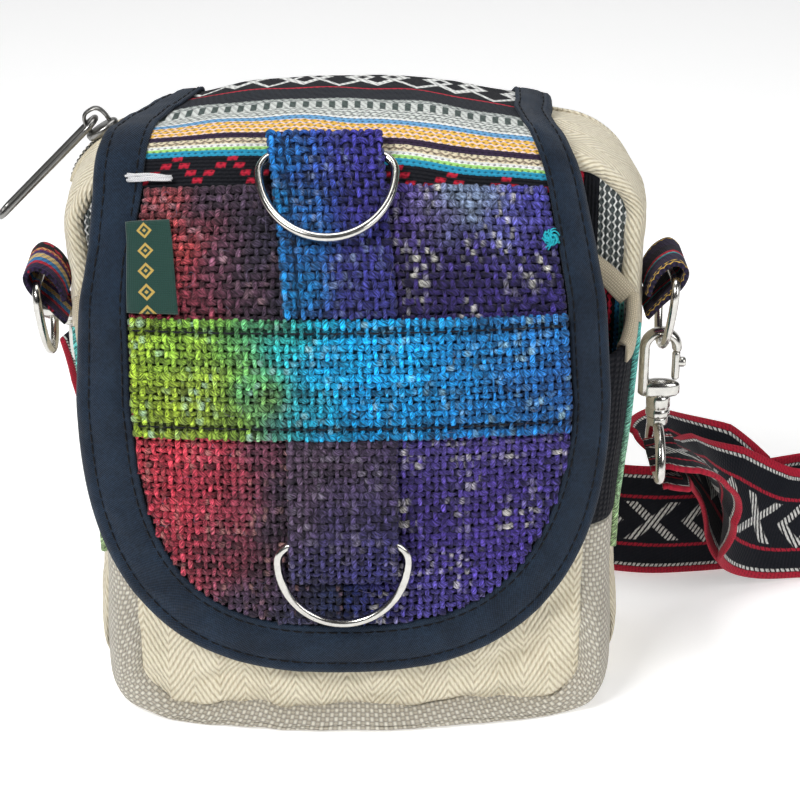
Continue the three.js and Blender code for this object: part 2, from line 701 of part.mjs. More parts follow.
// Lengths at which the flap's sheets bend: every 20 degrees of an arc or less, and the ends of each run
const BEND_STEP = 20;
const FLAP_STATIONS = (() => {
  const stations = [0];
  let start = 0;
  for (const { run, radius, turn } of FLAP_PROFILE.slice(0, -1)) {
    const length = radius ? radius * radians(turn) : run;
    const steps = radius ? Math.ceil(turn / BEND_STEP) : 1;
    for (let i = 1; i <= steps; i += 1) stations.push(start + (length * i) / steps);
    start += length;
  }
  return stations;
})();
const FRONT_FROM = FLAP_STATIONS[FLAP_STATIONS.length - 1];

// Cut outline of the flap: down the left edge, round the bottom and up the right edge
function flapOutline(roundSteps) {
  const right = [];
  for (const s of FLAP_STATIONS) right.push(new THREE.Vector2(flapSide(s), s));
  for (let i = 0; i < roundSteps; i += 1) {
    const a = (i / roundSteps) * (Math.PI / 2);
    const x = flapSide(FLAP.roundFrom) * Math.cos(a) ** (2 / FLAP.power);
    right.push(new THREE.Vector2(x, FLAP.roundFrom + FLAP.roundHeight * Math.sin(a) ** (2 / FLAP.power)));
  }
  const left = right.map(({ x, y }) => new THREE.Vector2(-x, y));
  const bottom = new THREE.Vector2(0, FLAP.roundFrom + FLAP.roundHeight);
  return [...left, bottom, ...right.reverse()];
}

// The same outline moved inward by distance(x, s): straight across on the sides, square to it on the
// round end
function insetOutline(outline, distance) {
  return outline.map((point, i) => {
    const before = outline[Math.max(0, i - 1)];
    const after = outline[Math.min(outline.length - 1, i + 1)];
    const inward = new THREE.Vector2(after.y - before.y, before.x - after.x).normalize();
    if (point.y <= FLAP.roundFrom) inward.set(-Math.sign(point.x), 0);
    return inward.multiplyScalar(distance(point.x, point.y)).add(point);
  });
}

const bindingShown = (x, s) => tableAt(BINDING_SHOWN, 's', s, x < 0 ? 'left' : 'right');

// Reads an inset outline: its edge on one side at s, and its lower edge at x
function insetReader(distance) {
  const outline = insetOutline(flapOutline(60), distance);
  const lower = outline.filter(({ y }) => y >= FLAP.roundFrom).map(({ x, y }) => ({ x, s: y }));
  return {
    edge: (sign, s) => sign * (flapSide(s) - distance(sign, Math.min(s, FLAP.roundFrom))),
    bottom: (x) => tableAt(lower, 'x', x, 's'),
  };
}

// Rows of a sheet: its two ends and the flap's bends between them
const END_CLEAR = 1;

function bendRows(top, bottom) {
  const bends = FLAP_STATIONS.filter((s) => s > top + END_CLEAR && s < bottom - END_CLEAR);
  return [top, ...bends, bottom];
}

// A sheet of the flap between two lengths, with columns that follow the flap's sides
function flapSheet({ left, right, top, bottom, low, high, columns }) {
  const stations = bendRows(top, bottom);
  const rows = stations.length - 1;
  return wall(columns, rows, (u, v, side) => {
    const s = stations[Math.round(v * rows)];
    return flapPoint(lerp(left(s), right(s), u), s, side ? low : high);
  });
}

function flapBase() {
  const inner = insetReader(() => BINDING.fold + GAP);
  const bends = FLAP_STATIONS.length - 1;
  const frontRows = 5;
  const rows = bends + frontRows;
  return wall(14, rows, (u, v, side) => {
    const share = Math.sin((2 * u - 1) * (Math.PI / 2));
    const end = inner.bottom(share * inner.edge(1, FLAP.roundFrom));
    const row = Math.round(v * rows);
    const s = row <= bends ? FLAP_STATIONS[row] : lerp(FRONT_FROM, end, (row - bends) / frontRows);
    return flapPoint(share * inner.edge(1, s), s, side ? -CLOTH / 2 : CLOTH / 2);
  });
}

function flapBinding() {
  const outline = flapOutline(14);
  const slot = CLOTH / 2 + GAP;
  const outer = slot + BINDING.wall;
  const section = [
    [0, -outer], [BINDING.width, -outer], [BINDING.width, -slot], [BINDING.fold, -slot],
    [BINDING.fold, slot], [BINDING.width, slot], [BINDING.width, outer], [0, outer],
  ];
  const insets = new Map(section.map(([d]) => [d, insetOutline(outline, () => d)]));
  const shown = insetOutline(outline, bindingShown);
  const frames = outline.map((_, i) => (d, h) => {
    const front = d === BINDING.width && h > 0;
    const { x, y: s } = front ? shown[i] : insets.get(d)[i];
    return flapPoint(x, s, h);
  });
  return sweep(section, frames);
}

const patch = insetReader((x, s) => bindingShown(x, s) + PATCH.clear);
const SEAM_HALF = GAP / 2;
const PATCH_COLUMNS = 8;

function upperPatch(sign) {
  return flapSheet({
    left: (s) => (sign < 0 ? patch.edge(sign, s) : SEAM_HALF),
    right: (s) => (sign < 0 ? -SEAM_HALF : patch.edge(sign, s)),
    top: PATCH.top,
    bottom: PATCH.split - SEAM_HALF,
    low: PATCH.low,
    high: PATCH.high,
    columns: PATCH_COLUMNS,
  });
}

// A lower patch ends on the round edge, so each column has its own length
function lowerPatch(sign) {
  const top = PATCH.split + SEAM_HALF;
  return wall(PATCH_COLUMNS, 5, (u, v, side) => {
    const share = Math.sin((u * Math.PI) / 2);
    const end = patch.bottom(lerp(sign * SEAM_HALF, patch.edge(sign, FLAP.roundFrom), share));
    const s = lerp(top, end, v);
    const x = lerp(sign * SEAM_HALF, patch.edge(sign, s), share);
    return flapPoint(x, s, side ? PATCH.low : PATCH.high);
  });
}

function band() {
  return flapSheet({
    left: (s) => patch.edge(-1, s),
    right: (s) => patch.edge(1, s),
    top: BAND.top,
    bottom: BAND.bottom,
    low: BAND.low,
    high: BAND.high,
    columns: 12,
  });
}

// Smooth points through a table of s and h
function smoothProfile(rows, steps) {
  const curve = new THREE.CatmullRomCurve3(rows.map(({ s, h }) => vec(s, h, 0)), false, 'centripetal');
  return curve.getSpacedPoints(steps);
}

// A strip carried across the flap with the given side profile, as thick as its cloth; it lies flat
// across, so it is lifted by what the flap droops there; lean moves its far end sideways
function ringStrip(rows, steps, lean) {
  const line = smoothProfile(rows, steps);
  return wall(steps, 2, (u, v, side) => {
    const i = Math.round(u * steps);
    const before = line[Math.max(0, i - 1)];
    const after = line[Math.min(steps, i + 1)];
    const way = vec(after.x - before.x, after.y - before.y, 0).normalize();
    const off = (side ? -1 : 1) * (STRIP.thick / 2);
    const x = lerp(-STRIP.half, STRIP.half, v) + lean * (rows[0].s - line[i].x) / STRIP.leanOver;
    const s = line[i].x - way.y * off;
    return flapPoint(x, s, line[i].y + way.x * off + flapDroop(x, s));
  });
}

// A D-ring on the flap, hanging from its bar; lift turns its lower end off the flap
function flapRing({ s, h, lift, shift }) {
  const { y, z, heading } = flapProfile(s);
  const down = heading + radians(-lift);
  const barY = y + Math.sin(heading) * h;
  const barZ = z - Math.cos(heading) * h;
  const outline = ringOutline(FLAP_RING, 20);
  return wireLoop(outline, FLAP_RING.wire, 7, (across, up, off) => vec(
    FLAP.centreX + shift + across,
    barY - up * Math.cos(down) + off * Math.sin(down),
    barZ - up * Math.sin(down) - off * Math.cos(down),
  ));
}

function labelTab() {
  return flapSheet({
    left: () => LABEL.left,
    right: () => LABEL.left + LABEL.width,
    top: LABEL.top,
    bottom: LABEL.bottom,
    low: LABEL.low,
    high: LABEL.high,
    columns: 3,
  });
}

addPiece('flap_base', 'striped', flapBase());
addPiece('flap_binding', 'navy', flapBinding());
addPiece('patch_upper_left', 'red', upperPatch(-1));
addPiece('patch_upper_right', 'violet', upperPatch(1));
addPiece('patch_lower_left', 'red', lowerPatch(-1));
addPiece('patch_lower_right', 'violet', lowerPatch(1));
addPiece('band_cross', 'blue', band());
addPiece('strip_upper', 'violet', ringStrip(UPPER_STRIP, 24, STRIP.upperLean));
addPiece('strip_lower', 'brown', ringStrip(LOWER_STRIP, 24, 0));
addPiece('d_ring_upper', 'nickel', flapRing(UPPER_BAR));
addPiece('d_ring_lower', 'nickel', flapRing(LOWER_BAR));
addPiece('label_tab', 'green', labelTab());

// Zip slider and puller on the left shoulder

function boxAt(width, depth, height, x, y, z) {
  const box = new THREE.BoxGeometry(width, depth, height);
  box.translate(x, y, z);
  return box;
}

// Slider's own axes: x along the chain, y across it, z off the cloth
function slider() {
  const { width, length, thick, rise, bailHeight, bailDepth, bailWire, bailBar, bailHalf, sunk } = SLIDER;
  const foot = rise + thick - sunk;
  const postX = bailHalf - bailWire / 2;
  const body = boxAt(length, width, thick, 0, 0, rise + thick / 2);
  const post = (sign) => boxAt(bailWire, bailDepth, bailHeight, sign * postX, 0, foot + bailHeight / 2);
  const bridge = boxAt(2 * bailHalf, bailDepth, bailBar, 0, 0, foot + bailHeight);
  return join(body, post(-1), post(1), bridge);
}

const sliderAlong = zipStart() + SLIDER.along;
const zipDepth = (ZIP.y - MAIN.frontY) / (MAIN.backY - MAIN.frontY);
const sliderSeat = gussetPoint(sliderAlong, zipDepth, 0);
const sliderBefore = gussetPoint(sliderAlong - 1, zipDepth, 0);
const sliderTurn = Math.atan2(sliderSeat.z - sliderBefore.z, sliderSeat.x - sliderBefore.x);

const sliderGroup = new THREE.Group();
sliderGroup.position.copy(sliderSeat);
sliderGroup.rotation.y = Math.PI - sliderTurn;
bag.add(sliderGroup);
addPiece('zip_slider', 'zinc', slider(), sliderGroup);

// The puller is a long wire loop through the bail, swinging about Y
const eyeRise = SLIDER.rise + SLIDER.thick + SLIDER.bailHeight / 2 - 0.5;
const offCloth = vec(Math.sin(sliderTurn), 0, -Math.cos(sliderTurn));
const pullerEye = sliderSeat.clone().addScaledVector(offCloth, eyeRise);

function puller() {
  const outline = [];
  const { half, length, wire, angle } = PULLER;
  const turns = 6;
  for (let i = 0; i <= turns; i += 1) {
    const a = (i / turns) * Math.PI;
    outline.push(new THREE.Vector2(half * Math.cos(a), half * Math.sin(a) - half));
  }
  for (let i = 0; i <= turns; i += 1) {
    const a = Math.PI + (i / turns) * Math.PI;
    outline.push(new THREE.Vector2(half * Math.cos(a), half * Math.sin(a) - length + half));
  }
  const dir = radians(angle);
  return wireLoop(outline.reverse(), wire, 6, (across, up, off) => vec(
    pullerEye.x - up * Math.cos(dir) - off * Math.sin(dir),
    ZIP.y + across,
    pullerEye.z - up * Math.sin(dir) + off * Math.cos(dir),
  ));
}

addPiece('zip_puller', 'zinc', puller());

// Side tabs, side rings and snap hooks

function sideTab(sign) {
  const rows = TAB_LOOP.map(({ x, z }) => ({ s: x, h: z }));
  const steps = 20;
  const line = smoothProfile(rows, steps);
  return wall(steps, 1, (u, v, side) => {
    const i = Math.round(u * steps);
    const before = line[Math.max(0, i - 1)];
    const after = line[Math.min(steps, i + 1)];
    const way = vec(after.x - before.x, after.y - before.y, 0).normalize();
    const off = (side ? -1 : 1) * (SIDE_TAB.thick / 2);
    const y = SIDE_TAB.y + (v - 0.5) * SIDE_TAB.width;
    return vec(sign * (line[i].x - way.y * off), y, line[i].y + way.x * off);
  });
}

// A side ring hangs from its bar, which lies along Y; lean turns its lower end off the vertical
function sideRing(sign, lean) {
  const tilt = radians(lean);
  return wireLoop(ringOutline(SIDE_RING, 16), SIDE_RING.wire, 7, (across, up, off) => vec(
    sign * (SIDE_BAR.x - up * Math.sin(tilt) + off * Math.cos(tilt)),
    SIDE_TAB.y + across,
    SIDE_BAR.z + up * Math.cos(tilt) + off * Math.sin(tilt),
  ));
}

// Hook's own axes: origin on the ring's wire, claw in the XZ plane, eye below
function hookOutline() {
  const { arm, opening, archZ, seat, base, tipEnd, heel, notch, notchTop } = HOOK;
  const outer = opening + arm;
  const shape = new THREE.Shape();
  shape.moveTo(-outer, base);
  shape.lineTo(outer, base);
  shape.lineTo(outer, seat - heel);
  shape.lineTo(opening - notch, seat - heel);
  shape.lineTo(opening - notchTop, seat);
  shape.lineTo(-opening, seat);
  shape.lineTo(-opening, archZ);
  shape.absarc(0, archZ, opening, Math.PI, 0, true);
  shape.lineTo(opening, tipEnd);
  shape.lineTo(outer, tipEnd);
  shape.lineTo(outer, archZ);
  shape.absarc(0, archZ, outer, 0, Math.PI, false);
  shape.closePath();
  return shape;
}

function extruded(shape, thick, curveSegments) {
  const solid = new THREE.ExtrudeGeometry(shape, { depth: thick, bevelEnabled: false, curveSegments });
  solid.rotateX(Math.PI / 2);
  solid.translate(0, thick / 2, 0);
  return solid;
}

function upright(radius, fromZ, toZ, sides) {
  const cylinder = new THREE.CylinderGeometry(radius, radius, toZ - fromZ, sides);
  cylinder.rotateX(Math.PI / 2);
  cylinder.translate(0, 0, (fromZ + toZ) / 2);
  return cylinder;
}

function hookBody() {
  const claw = extruded(hookOutline(), HOOK.thick, 8);
  const barrel = upright(HOOK.barrel, HOOK.barrelEnd, HOOK.base + 1, 14);
  const bore = upright(HOOK.bore, HOOK.barrelEnd - 1, HOOK.base - HOOK.boreUp, 14);
  return cut(join(claw, barrel), bore);
}

function hookGate() {
  const { pivotX, pivotZ, foot, width, thick, top, knob, knobLow, knobHigh, knobTaper } = GATE;
  const shape = new THREE.Shape();
  const inner = pivotX - width / 2;
  const outer = pivotX + width / 2;
  shape.moveTo(inner, pivotZ - foot);
  shape.lineTo(outer, pivotZ - foot);
  shape.lineTo(outer, knobLow);
  shape.lineTo(outer + knob, knobLow + knobTaper);
  shape.lineTo(outer + knob, knobHigh - knobTaper);
  shape.lineTo(outer, knobHigh);
  shape.lineTo(outer, top);
  shape.lineTo(inner, top);
  shape.closePath();
  return extruded(shape, thick, 4);
}

function hookEye() {
  const { post, barrelEnd, eyeTop, eyeBar, eyeHalf, eyeWire, base, collar, sunk, stemUp } = HOOK;
  const stem = upright(post, eyeTop - sunk, base - stemUp, 12);
  const ring = upright(collar, eyeTop - sunk, barrelEnd - GAP, 12);
  const outline = ringOutline({ half: eyeHalf, height: eyeTop - eyeBar, corner: 3 }, 12);
  const loop = wireLoop(outline, eyeWire, 6, (across, up, off) => vec(off, across, eyeBar - up));
  return join(stem, ring, loop);
}

for (const [name, sign, lean] of [['left', -1, LEFT_RING_LEAN], ['right', 1, RIGHT_RING_LEAN]]) {
  addPiece(`side_tab_${name}`, 'striped', sideTab(sign));
  addPiece(`side_ring_${name}`, 'nickel', sideRing(sign, lean));
}

const ringEnd = (lean) => ({
  x: SIDE_BAR.x + Math.sin(radians(lean)) * SIDE_RING.height,
  z: SIDE_BAR.z - Math.cos(radians(lean)) * SIDE_RING.height,
});
const hookRight = new THREE.Group();
const rightEnd = ringEnd(RIGHT_RING_LEAN);
hookRight.position.set(rightEnd.x + WIRE_SEAT.x, SIDE_TAB.y, rightEnd.z + WIRE_SEAT.z);
bag.add(hookRight);
addPiece('hook_right_body', 'nickel', hookBody(), hookRight);
addPiece('hook_right_gate', 'nickel', hookGate(), hookRight);
addPiece('hook_right_eye', 'nickel', hookEye(), hookRight);

const hookLeft = new THREE.Group();
const downLeg = (LEFT_HOOK.depth - SIDE_RING.corner) / (SIDE_RING.height - SIDE_RING.corner);
const legHalf = SIDE_RING.half * Math.sqrt(1 - downLeg ** 2);
hookLeft.position.set(
  -SIDE_BAR.x - Math.sin(radians(LEFT_RING_LEAN)) * LEFT_HOOK.depth,
  SIDE_TAB.y + legHalf,
  SIDE_BAR.z - Math.cos(radians(LEFT_RING_LEAN)) * LEFT_HOOK.depth,
);
hookLeft.rotation.order = 'ZXY';
hookLeft.rotation.set(radians(LEFT_HOOK.pitch), 0, radians(LEFT_HOOK.yaw));
bag.add(hookLeft);

function plainHook() {
  const { gateWidth, gateHeight, gateZ } = LEFT_HOOK;
  const claw = extruded(hookOutline(), HOOK.thick, 8);
  const gateFill = boxAt(gateWidth, GATE.thick, gateHeight, GATE.pivotX, 0, gateZ);
  const barrel = upright(HOOK.barrel, HOOK.barrelEnd, HOOK.base + 1, 14);
  return join(claw, gateFill, barrel, hookEye());
}

addPiece('hook_left', 'nickel', plainHook(), hookLeft);

// Strap

// Frames along a hand-laid route: place, width direction, face normal and half width at each step
function strapFrames(route, steps) {
  const curve = new THREE.CatmullRomCurve3(route.map(({ x, y, z }) => vec(x, y, z)), false, 'centripetal');
  return Array.from({ length: steps + 1 }, (_, step) => {
    const t = step / steps;
    const way = curve.getTangent(t);
    const row = t * (route.length - 1);
    const i = Math.min(route.length - 2, Math.floor(row));
    const lean = radians(lerp(route[i].lean, route[i + 1].lean, row - i));
    const half = lerp(route[i].half, route[i + 1].half, row - i);
    const level = vec(-way.y, way.x, 0).normalize();
    const wide = level.multiplyScalar(Math.cos(lean)).add(vec(0, 0, Math.sin(lean)));
    wide.addScaledVector(way, -wide.dot(way)).normalize();
    const face = vec(0, 0, 0).crossVectors(way, wide);
    return { place: curve.getPoint(t), wide, face, half };
  });
}

function ribbon(frames) {
  const last = frames.length - 1;
  return wall(last, 1, (u, v, side) => {
    const { place, wide, face, half } = frames[Math.round(u * last)];
    const off = (side ? -1 : 1) * (STRAP_THICK / 2);
    return place.clone().addScaledVector(wide, (2 * v - 1) * half).addScaledVector(face, off);
  });
}

const STEPS_A_ROW = 3;

function strapTail(frames) {
  const under = frames.slice(1, Math.round(TAIL.rows * STEPS_A_ROW));
  return under.map(({ place, wide, face, half }, i) => {
    const past = Math.max(0, (i + 1) / STEPS_A_ROW - TAIL.climbFrom) / (TAIL.rows - TAIL.climbFrom);
    const climb = TAIL.climb * Math.sin((Math.PI / 2) * past);
    const moved = place.clone().addScaledVector(face, -TAIL.behind).addScaledVector(wide, climb);
    return { place: moved, wide, face, half };
  });
}

const strapLine = strapFrames(STRAP_ROUTE, STEPS_A_ROW * (STRAP_ROUTE.length - 1));
addPiece('strap', 'black', ribbon(strapLine));
addPiece('strap_tail', 'black', ribbon(strapTail(strapLine)));

export default bag;
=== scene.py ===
"""Hemp crossbody bag: cloth, hardware, strap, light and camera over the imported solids.

Sizes are in millimetres until a mesh is made. +X is the right side seen from the front, -Y is the
front and +Z is up, with the origin on the floor under the middle of the base.
"""

import logging
from collections.abc import Callable, Sequence
from dataclasses import dataclass, field
from enum import Enum
from typing import ClassVar

import bpy
import numpy as np
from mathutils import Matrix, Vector


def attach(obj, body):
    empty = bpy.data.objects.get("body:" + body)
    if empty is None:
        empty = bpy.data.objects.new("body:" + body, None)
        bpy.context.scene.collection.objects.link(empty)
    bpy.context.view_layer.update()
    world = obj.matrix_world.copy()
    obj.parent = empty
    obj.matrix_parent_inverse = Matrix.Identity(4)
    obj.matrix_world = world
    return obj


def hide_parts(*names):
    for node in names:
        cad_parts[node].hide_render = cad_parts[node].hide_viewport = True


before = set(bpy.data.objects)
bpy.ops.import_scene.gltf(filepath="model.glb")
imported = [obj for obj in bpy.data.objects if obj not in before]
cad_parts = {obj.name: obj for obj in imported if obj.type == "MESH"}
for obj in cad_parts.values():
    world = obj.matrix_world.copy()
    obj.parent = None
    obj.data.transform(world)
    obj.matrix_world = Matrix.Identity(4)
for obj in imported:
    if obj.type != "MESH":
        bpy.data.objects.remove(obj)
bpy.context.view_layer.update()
LOG = logging.getLogger("bag")
MM = 0.001
QUARTER = np.pi / 2
BODY = "bag"
Array = np.ndarray
Rgb = tuple[float, float, float]
Point = tuple[float, float, float]
Pair = tuple[float, float]
Pairs = Sequence[Pair]
Rows = tuple[tuple[float, ...], ...]
Span = Callable[[Array], Array]
Place = Callable[[Array, Array, Array], Array]
Material = bpy.types.Material
Socket = bpy.types.NodeSocket
Node = bpy.types.Node
Tree = bpy.types.NodeTree
SIDES = (("left", -1), ("right", 1))


# Numbers and noise

def linear(rgb: Rgb) -> tuple[float, float, float, float]:
    """Turns an sRGB colour of 0 to 255 into linear light with full alpha."""
    c = np.asarray(rgb, float) / 255
    lit = np.where(c <= 0.04045, c / 12.92, ((c + 0.055) / 1.055) ** 2.4)
    return (*lit.tolist(), 1.0)


def darker(rgb: Rgb, share: float) -> Rgb:
    """A colour at a share of its strength."""
    return tuple(c * share for c in rgb)


def unit(v: Array) -> Array:
    """Scales vectors on the last axis to length one."""
    return v / np.maximum(np.linalg.norm(v, axis=-1, keepdims=True), 1e-12)


def ease(a: float, b: float, x: Array) -> Array:
    """Smooth step, cubic between its ends.

    Args:
        a: Where it is 0.
        b: Where it is 1, on either side of a.
        x: Places.

    Returns:
        Shares of 0 to 1.
    """
    t = np.clip((np.asarray(x, float) - a) / (b - a), 0, 1)
    return t * t * (3 - 2 * t)


def waves(u: Array, v: Array, size: float, seed: int, count: int = 7) -> Array:
    """Soft noise: the mean of sine waves with seeded directions, lengths near size and phases.

    Args:
        u: First coordinate in mm.
        v: Second coordinate in mm.
        size: Middle wavelength in mm.
        seed: Seed of the waves.
        count: Number of waves.

    Returns:
        Values of about -1 to 1.
    """
    rng = np.random.default_rng(seed)
    turn = rng.uniform(0, 2 * np.pi, count)
    pace = 2 * np.pi / (size * rng.uniform(0.6, 1.6, count))
    start = rng.uniform(0, 2 * np.pi, count)
    u, v = np.broadcast_arrays(np.asarray(u, float), np.asarray(v, float))
    arg = (u[..., None] * np.cos(turn) + v[..., None] * np.sin(turn)) * pace + start
    return np.sin(arg).sum(-1) / np.sqrt(count) * 0.8


def centripetal(rows: Array, steps: int) -> Array:
    """Centripetal Catmull-Rom curve through rows, equal steps in each span.

    Args:
        rows: Control rows, one per line.
        steps: Steps in each span.

    Returns:
        Points on the curve, the control rows among them.
    """
    p = np.vstack([2 * rows[0] - rows[1], rows, 2 * rows[-1] - rows[-2]])
    gap = np.linalg.norm(np.diff(p[:, :3], axis=0), axis=1) ** 0.5
    d0, d1, d2 = gap[:-2, None], gap[1:-1, None], gap[2:, None]
    a, b, c, d = p[:-3], p[1:-2], p[2:-1], p[3:]
    m0 = ((b - a) / d0 - (c - a) / (d0 + d1) + (c - b) / d1) * d1
    m1 = ((c - b) / d1 - (d - b) / (d1 + d2) + (d - c) / d2) * d1
    t = (np.arange(steps) / steps)[None, :, None]
    b, c, m0, m1 = (x[:, None] for x in (b, c, m0, m1))
    curve = (b + m0 * t + (-3 * b + 3 * c - 2 * m0 - m1) * t**2 + (2 * b - 2 * c + m0 + m1) * t**3)
    return np.vstack([curve.reshape(-1, rows.shape[1]), rows[-1:]])


def stacked(*parts: "Array | float") -> Array:
    """Spreads arrays over one shape and stacks them on a new last axis."""
    return np.stack(np.broadcast_arrays(*parts), -1)


def run_along(line: Array) -> Array:
    """Running length at each point of a polyline."""
    return np.r_[0, np.cumsum(np.linalg.norm(np.diff(line, axis=0), axis=1))]


def read(table: Sequence[Sequence[float]], at: Array) -> list[Array]:
    """Reads a table's later columns at places in its first, straight between the rows."""
    rows = np.array(table, float)
    return [np.interp(at, rows[:, 0], column) for column in rows.T[1:]]


def constant(value: float) -> Span:
    """A function that gives one value at every place."""
    return lambda at: np.full(np.shape(at), float(value))


def walk(along: Array, start: Sequence[float], runs: Pairs) -> list[Array]:
    """Walks straight runs and arcs by adding the chords of those before each place.

    Args:
        along: Lengths from the start.
        start: First place and heading.
        runs: Length and radius of each run, with radius 0 where it is straight.

    Returns:
        Both coordinates and the heading.
    """
    a, b, heading = (np.full(along.shape, float(v)) for v in start)
    rest = along.copy()
    for length, radius in runs:
        part = np.clip(rest, 0, length)
        swing = part / radius if radius else np.zeros_like(part)
        chord = 2 * radius * np.sin(swing / 2) if radius else part
        a = a + chord * np.cos(heading + swing / 2)
        b = b + chord * np.sin(heading + swing / 2)
        heading = heading + swing
        rest = rest - part
    return [a, b, heading]


# Surfaces

@dataclass
class Surface:
    """Points in mm, faces by corner count, the faces' pattern coordinates in mm, and dye at each point, which
    on woven yarns also holds painted shade and painted highlight.
    """

    points: Array
    faces: list[Array]
    uvs: list[Array]
    dye: Array | None = None

    def dyed(self, rgb: Array) -> "Surface":
        """Gives every point a linear colour, one for all or one each."""
        self.dye = np.broadcast_to(np.asarray(rgb, float), (len(self.points), 3)).copy()
        return self

    def turned(self, flip: bool = True) -> "Surface":
        """Turns the faces round."""
        if flip:
            self.faces = [f[:, ::-1] for f in self.faces]
            self.uvs = [u[:, ::-1] for u in self.uvs]
        return self

    def outward(self) -> "Surface":
        """Turns the faces round where the closed volume under them is negative."""
        volume = 0.0
        for f in self.faces:
            p = self.points[f]
            for k in range(1, f.shape[1] - 1):
                volume += np.einsum("ij,ij->", p[:, 0], np.cross(p[:, k], p[:, k + 1]))
        return self.turned(volume < 0)


def merge(parts: Sequence[Surface]) -> Surface:
    """Puts several surfaces, all dyed or none, into one list of points and faces."""
    shift = np.cumsum([0, *[len(p.points) for p in parts]])
    faces = [f + n for p, n in zip(parts, shift) for f in p.faces]
    dye = np.vstack([p.dye for p in parts]) if parts[0].dye is not None else None
    return Surface(np.vstack([p.points for p in parts]), faces, [u for p in parts for u in p.uvs], dye)


def quads(rows: int, columns: int, wrap: bool) -> Array:
    """Corner indices of a grid's faces, as row and column pairs before any wrap of the columns."""
    i, j = np.meshgrid(np.arange(rows - 1), np.arange(columns - (not wrap)), indexing="ij")
    corners = ((0, 0), (0, 1), (1, 1), (1, 0))
    return np.stack([np.stack([i.ravel() + di, j.ravel() + dj]) for di, dj in corners], -1)


def shell(outer: Array, inner: Array, uv: Array, wrap: bool = False) -> Surface:
    """Closed wall between two grids: both faces, and a strip along each open edge.

    Args:
        outer: Grid of points (rows, columns, 3) of the shown face.
        inner: Grid of the hidden face.
        uv: Pattern coordinates of the grid, with one more column where it wraps.
        wrap: Joins the last column to the first.

    Returns:
        The wall, with its faces turned outward.
    """
    rows, columns = outer.shape[:2]
    q = quads(rows, columns, wrap)
    flat = q[0] * columns + q[1] % columns
    half = rows * columns
    first = uv[q[0], q[1]]
    across = np.arange(columns + wrap)
    rims = [np.stack([np.full_like(across, r), across]) for r in (0, rows - 1)]
    if not wrap:
        rims += [np.stack([np.arange(rows), np.full(rows, c)]) for c in (0, columns - 1)]
    faces, uvs = [flat, half + flat[:, ::-1]], [first, first[:, ::-1]]
    for k, rim in enumerate(rims):
        at = rim[0] * columns + rim[1] % columns
        strip = np.stack([at[1:], at[:-1], half + at[:-1], half + at[1:]], -1)
        corner = uv[rim[0], rim[1]]
        edge = np.stack([corner[1:], corner[:-1], corner[:-1], corner[1:]], 1)
        back = k in (1, 2)
        faces.append(strip[:, ::-1] if back else strip)
        uvs.append(edge[:, ::-1] if back else edge)
    return Surface(np.vstack([outer.reshape(-1, 3), inner.reshape(-1, 3)]), faces, uvs).outward()


def tubes(paths: Array, normals: Array, wide: Array, thick: Array, sides: int,
          closed: bool = False) -> Surface:
    """Elliptical tubes along many paths at once, capped at their ends or closed into rings.

    Each ring of a tube is centre + wide * cos(a) * binormal + thick * sin(a) * normal, with the
    binormal square to the path and to the given normal.

    Args:
        paths: Centre lines (tubes, steps, 3).
        normals: Directions of the thickness, of the same shape.
        wide: Half widths (tubes, steps).
        thick: Half thicknesses (tubes, steps).
        sides: Points in each ring.
        closed: Joins each path's end to its start.

    Returns:
        The tubes, turned outward, with u along and v around in mm.
    """
    count, steps = paths.shape[:2]
    way = unit(np.roll(paths, -1, 1) - np.roll(paths, 1, 1) if closed else np.gradient(paths, axis=1))
    side = unit(np.cross(way, normals))
    up = np.cross(side, way)
    a = 2 * np.pi * np.arange(sides) / sides
    ring = (wide[..., None, None] * np.cos(a)[:, None] * side[..., None, :]
            + thick[..., None, None] * np.sin(a)[:, None] * up[..., None, :])
    points = (paths[:, :, None] + ring).reshape(-1, 3)
    ahead = np.linalg.norm(np.diff(paths, axis=1, append=paths[:, :1]), axis=2)
    along = np.concatenate([np.zeros((count, 1)), np.cumsum(ahead, 1)], 1)
    around = np.arange(sides + 1) / sides * 2 * np.pi * float(np.mean(wide))
    q = quads(steps + closed, sides, True)
    index = (q[0] % steps) * sides + q[1] % sides
    faces = (index[None] + (np.arange(count) * steps * sides)[:, None, None]).reshape(-1, 4)
    uv = np.stack([along[:, q[0]], np.broadcast_to(around[q[1]], (count, *q[1].shape))], -1)
    made = Surface(points, [faces], [uv.reshape(-1, 4, 2)])
    if not closed:
        base = (np.arange(count) * steps * sides)[:, None]
        for at, order in ((0, np.arange(sides)[::-1]), (steps - 1, np.arange(sides))):
            cap = base + at * sides + order[None]
            made.faces.append(cap)
            made.uvs.append(np.broadcast_to(along[:, at, None, None], (count, sides, 2)))
    return made.outward()


def wire(paths: Array, normal: Sequence[float], radius: float, sides: int, closed: bool = False) -> Surface:
    """Round wires of one radius along one path or many, with a fixed normal that isn't along them."""
    paths = paths.reshape(-1, *paths.shape[-2:])
    size = np.full(paths.shape[:2], radius)
    return tubes(paths, np.broadcast_to(normal, paths.shape), size, size, sides, closed)


def oval_bar(path: Array, size: Array, wide: float, thick: float, sides: int) -> Surface:
    """Oval bar along a path in the XZ plane, its half width and half thickness scaled by size."""
    normal = np.broadcast_to([0.0, 1.0, 0.0], (1, len(path), 3))
    return tubes(path[None], normal, wide * size[None], thick * size[None], sides)


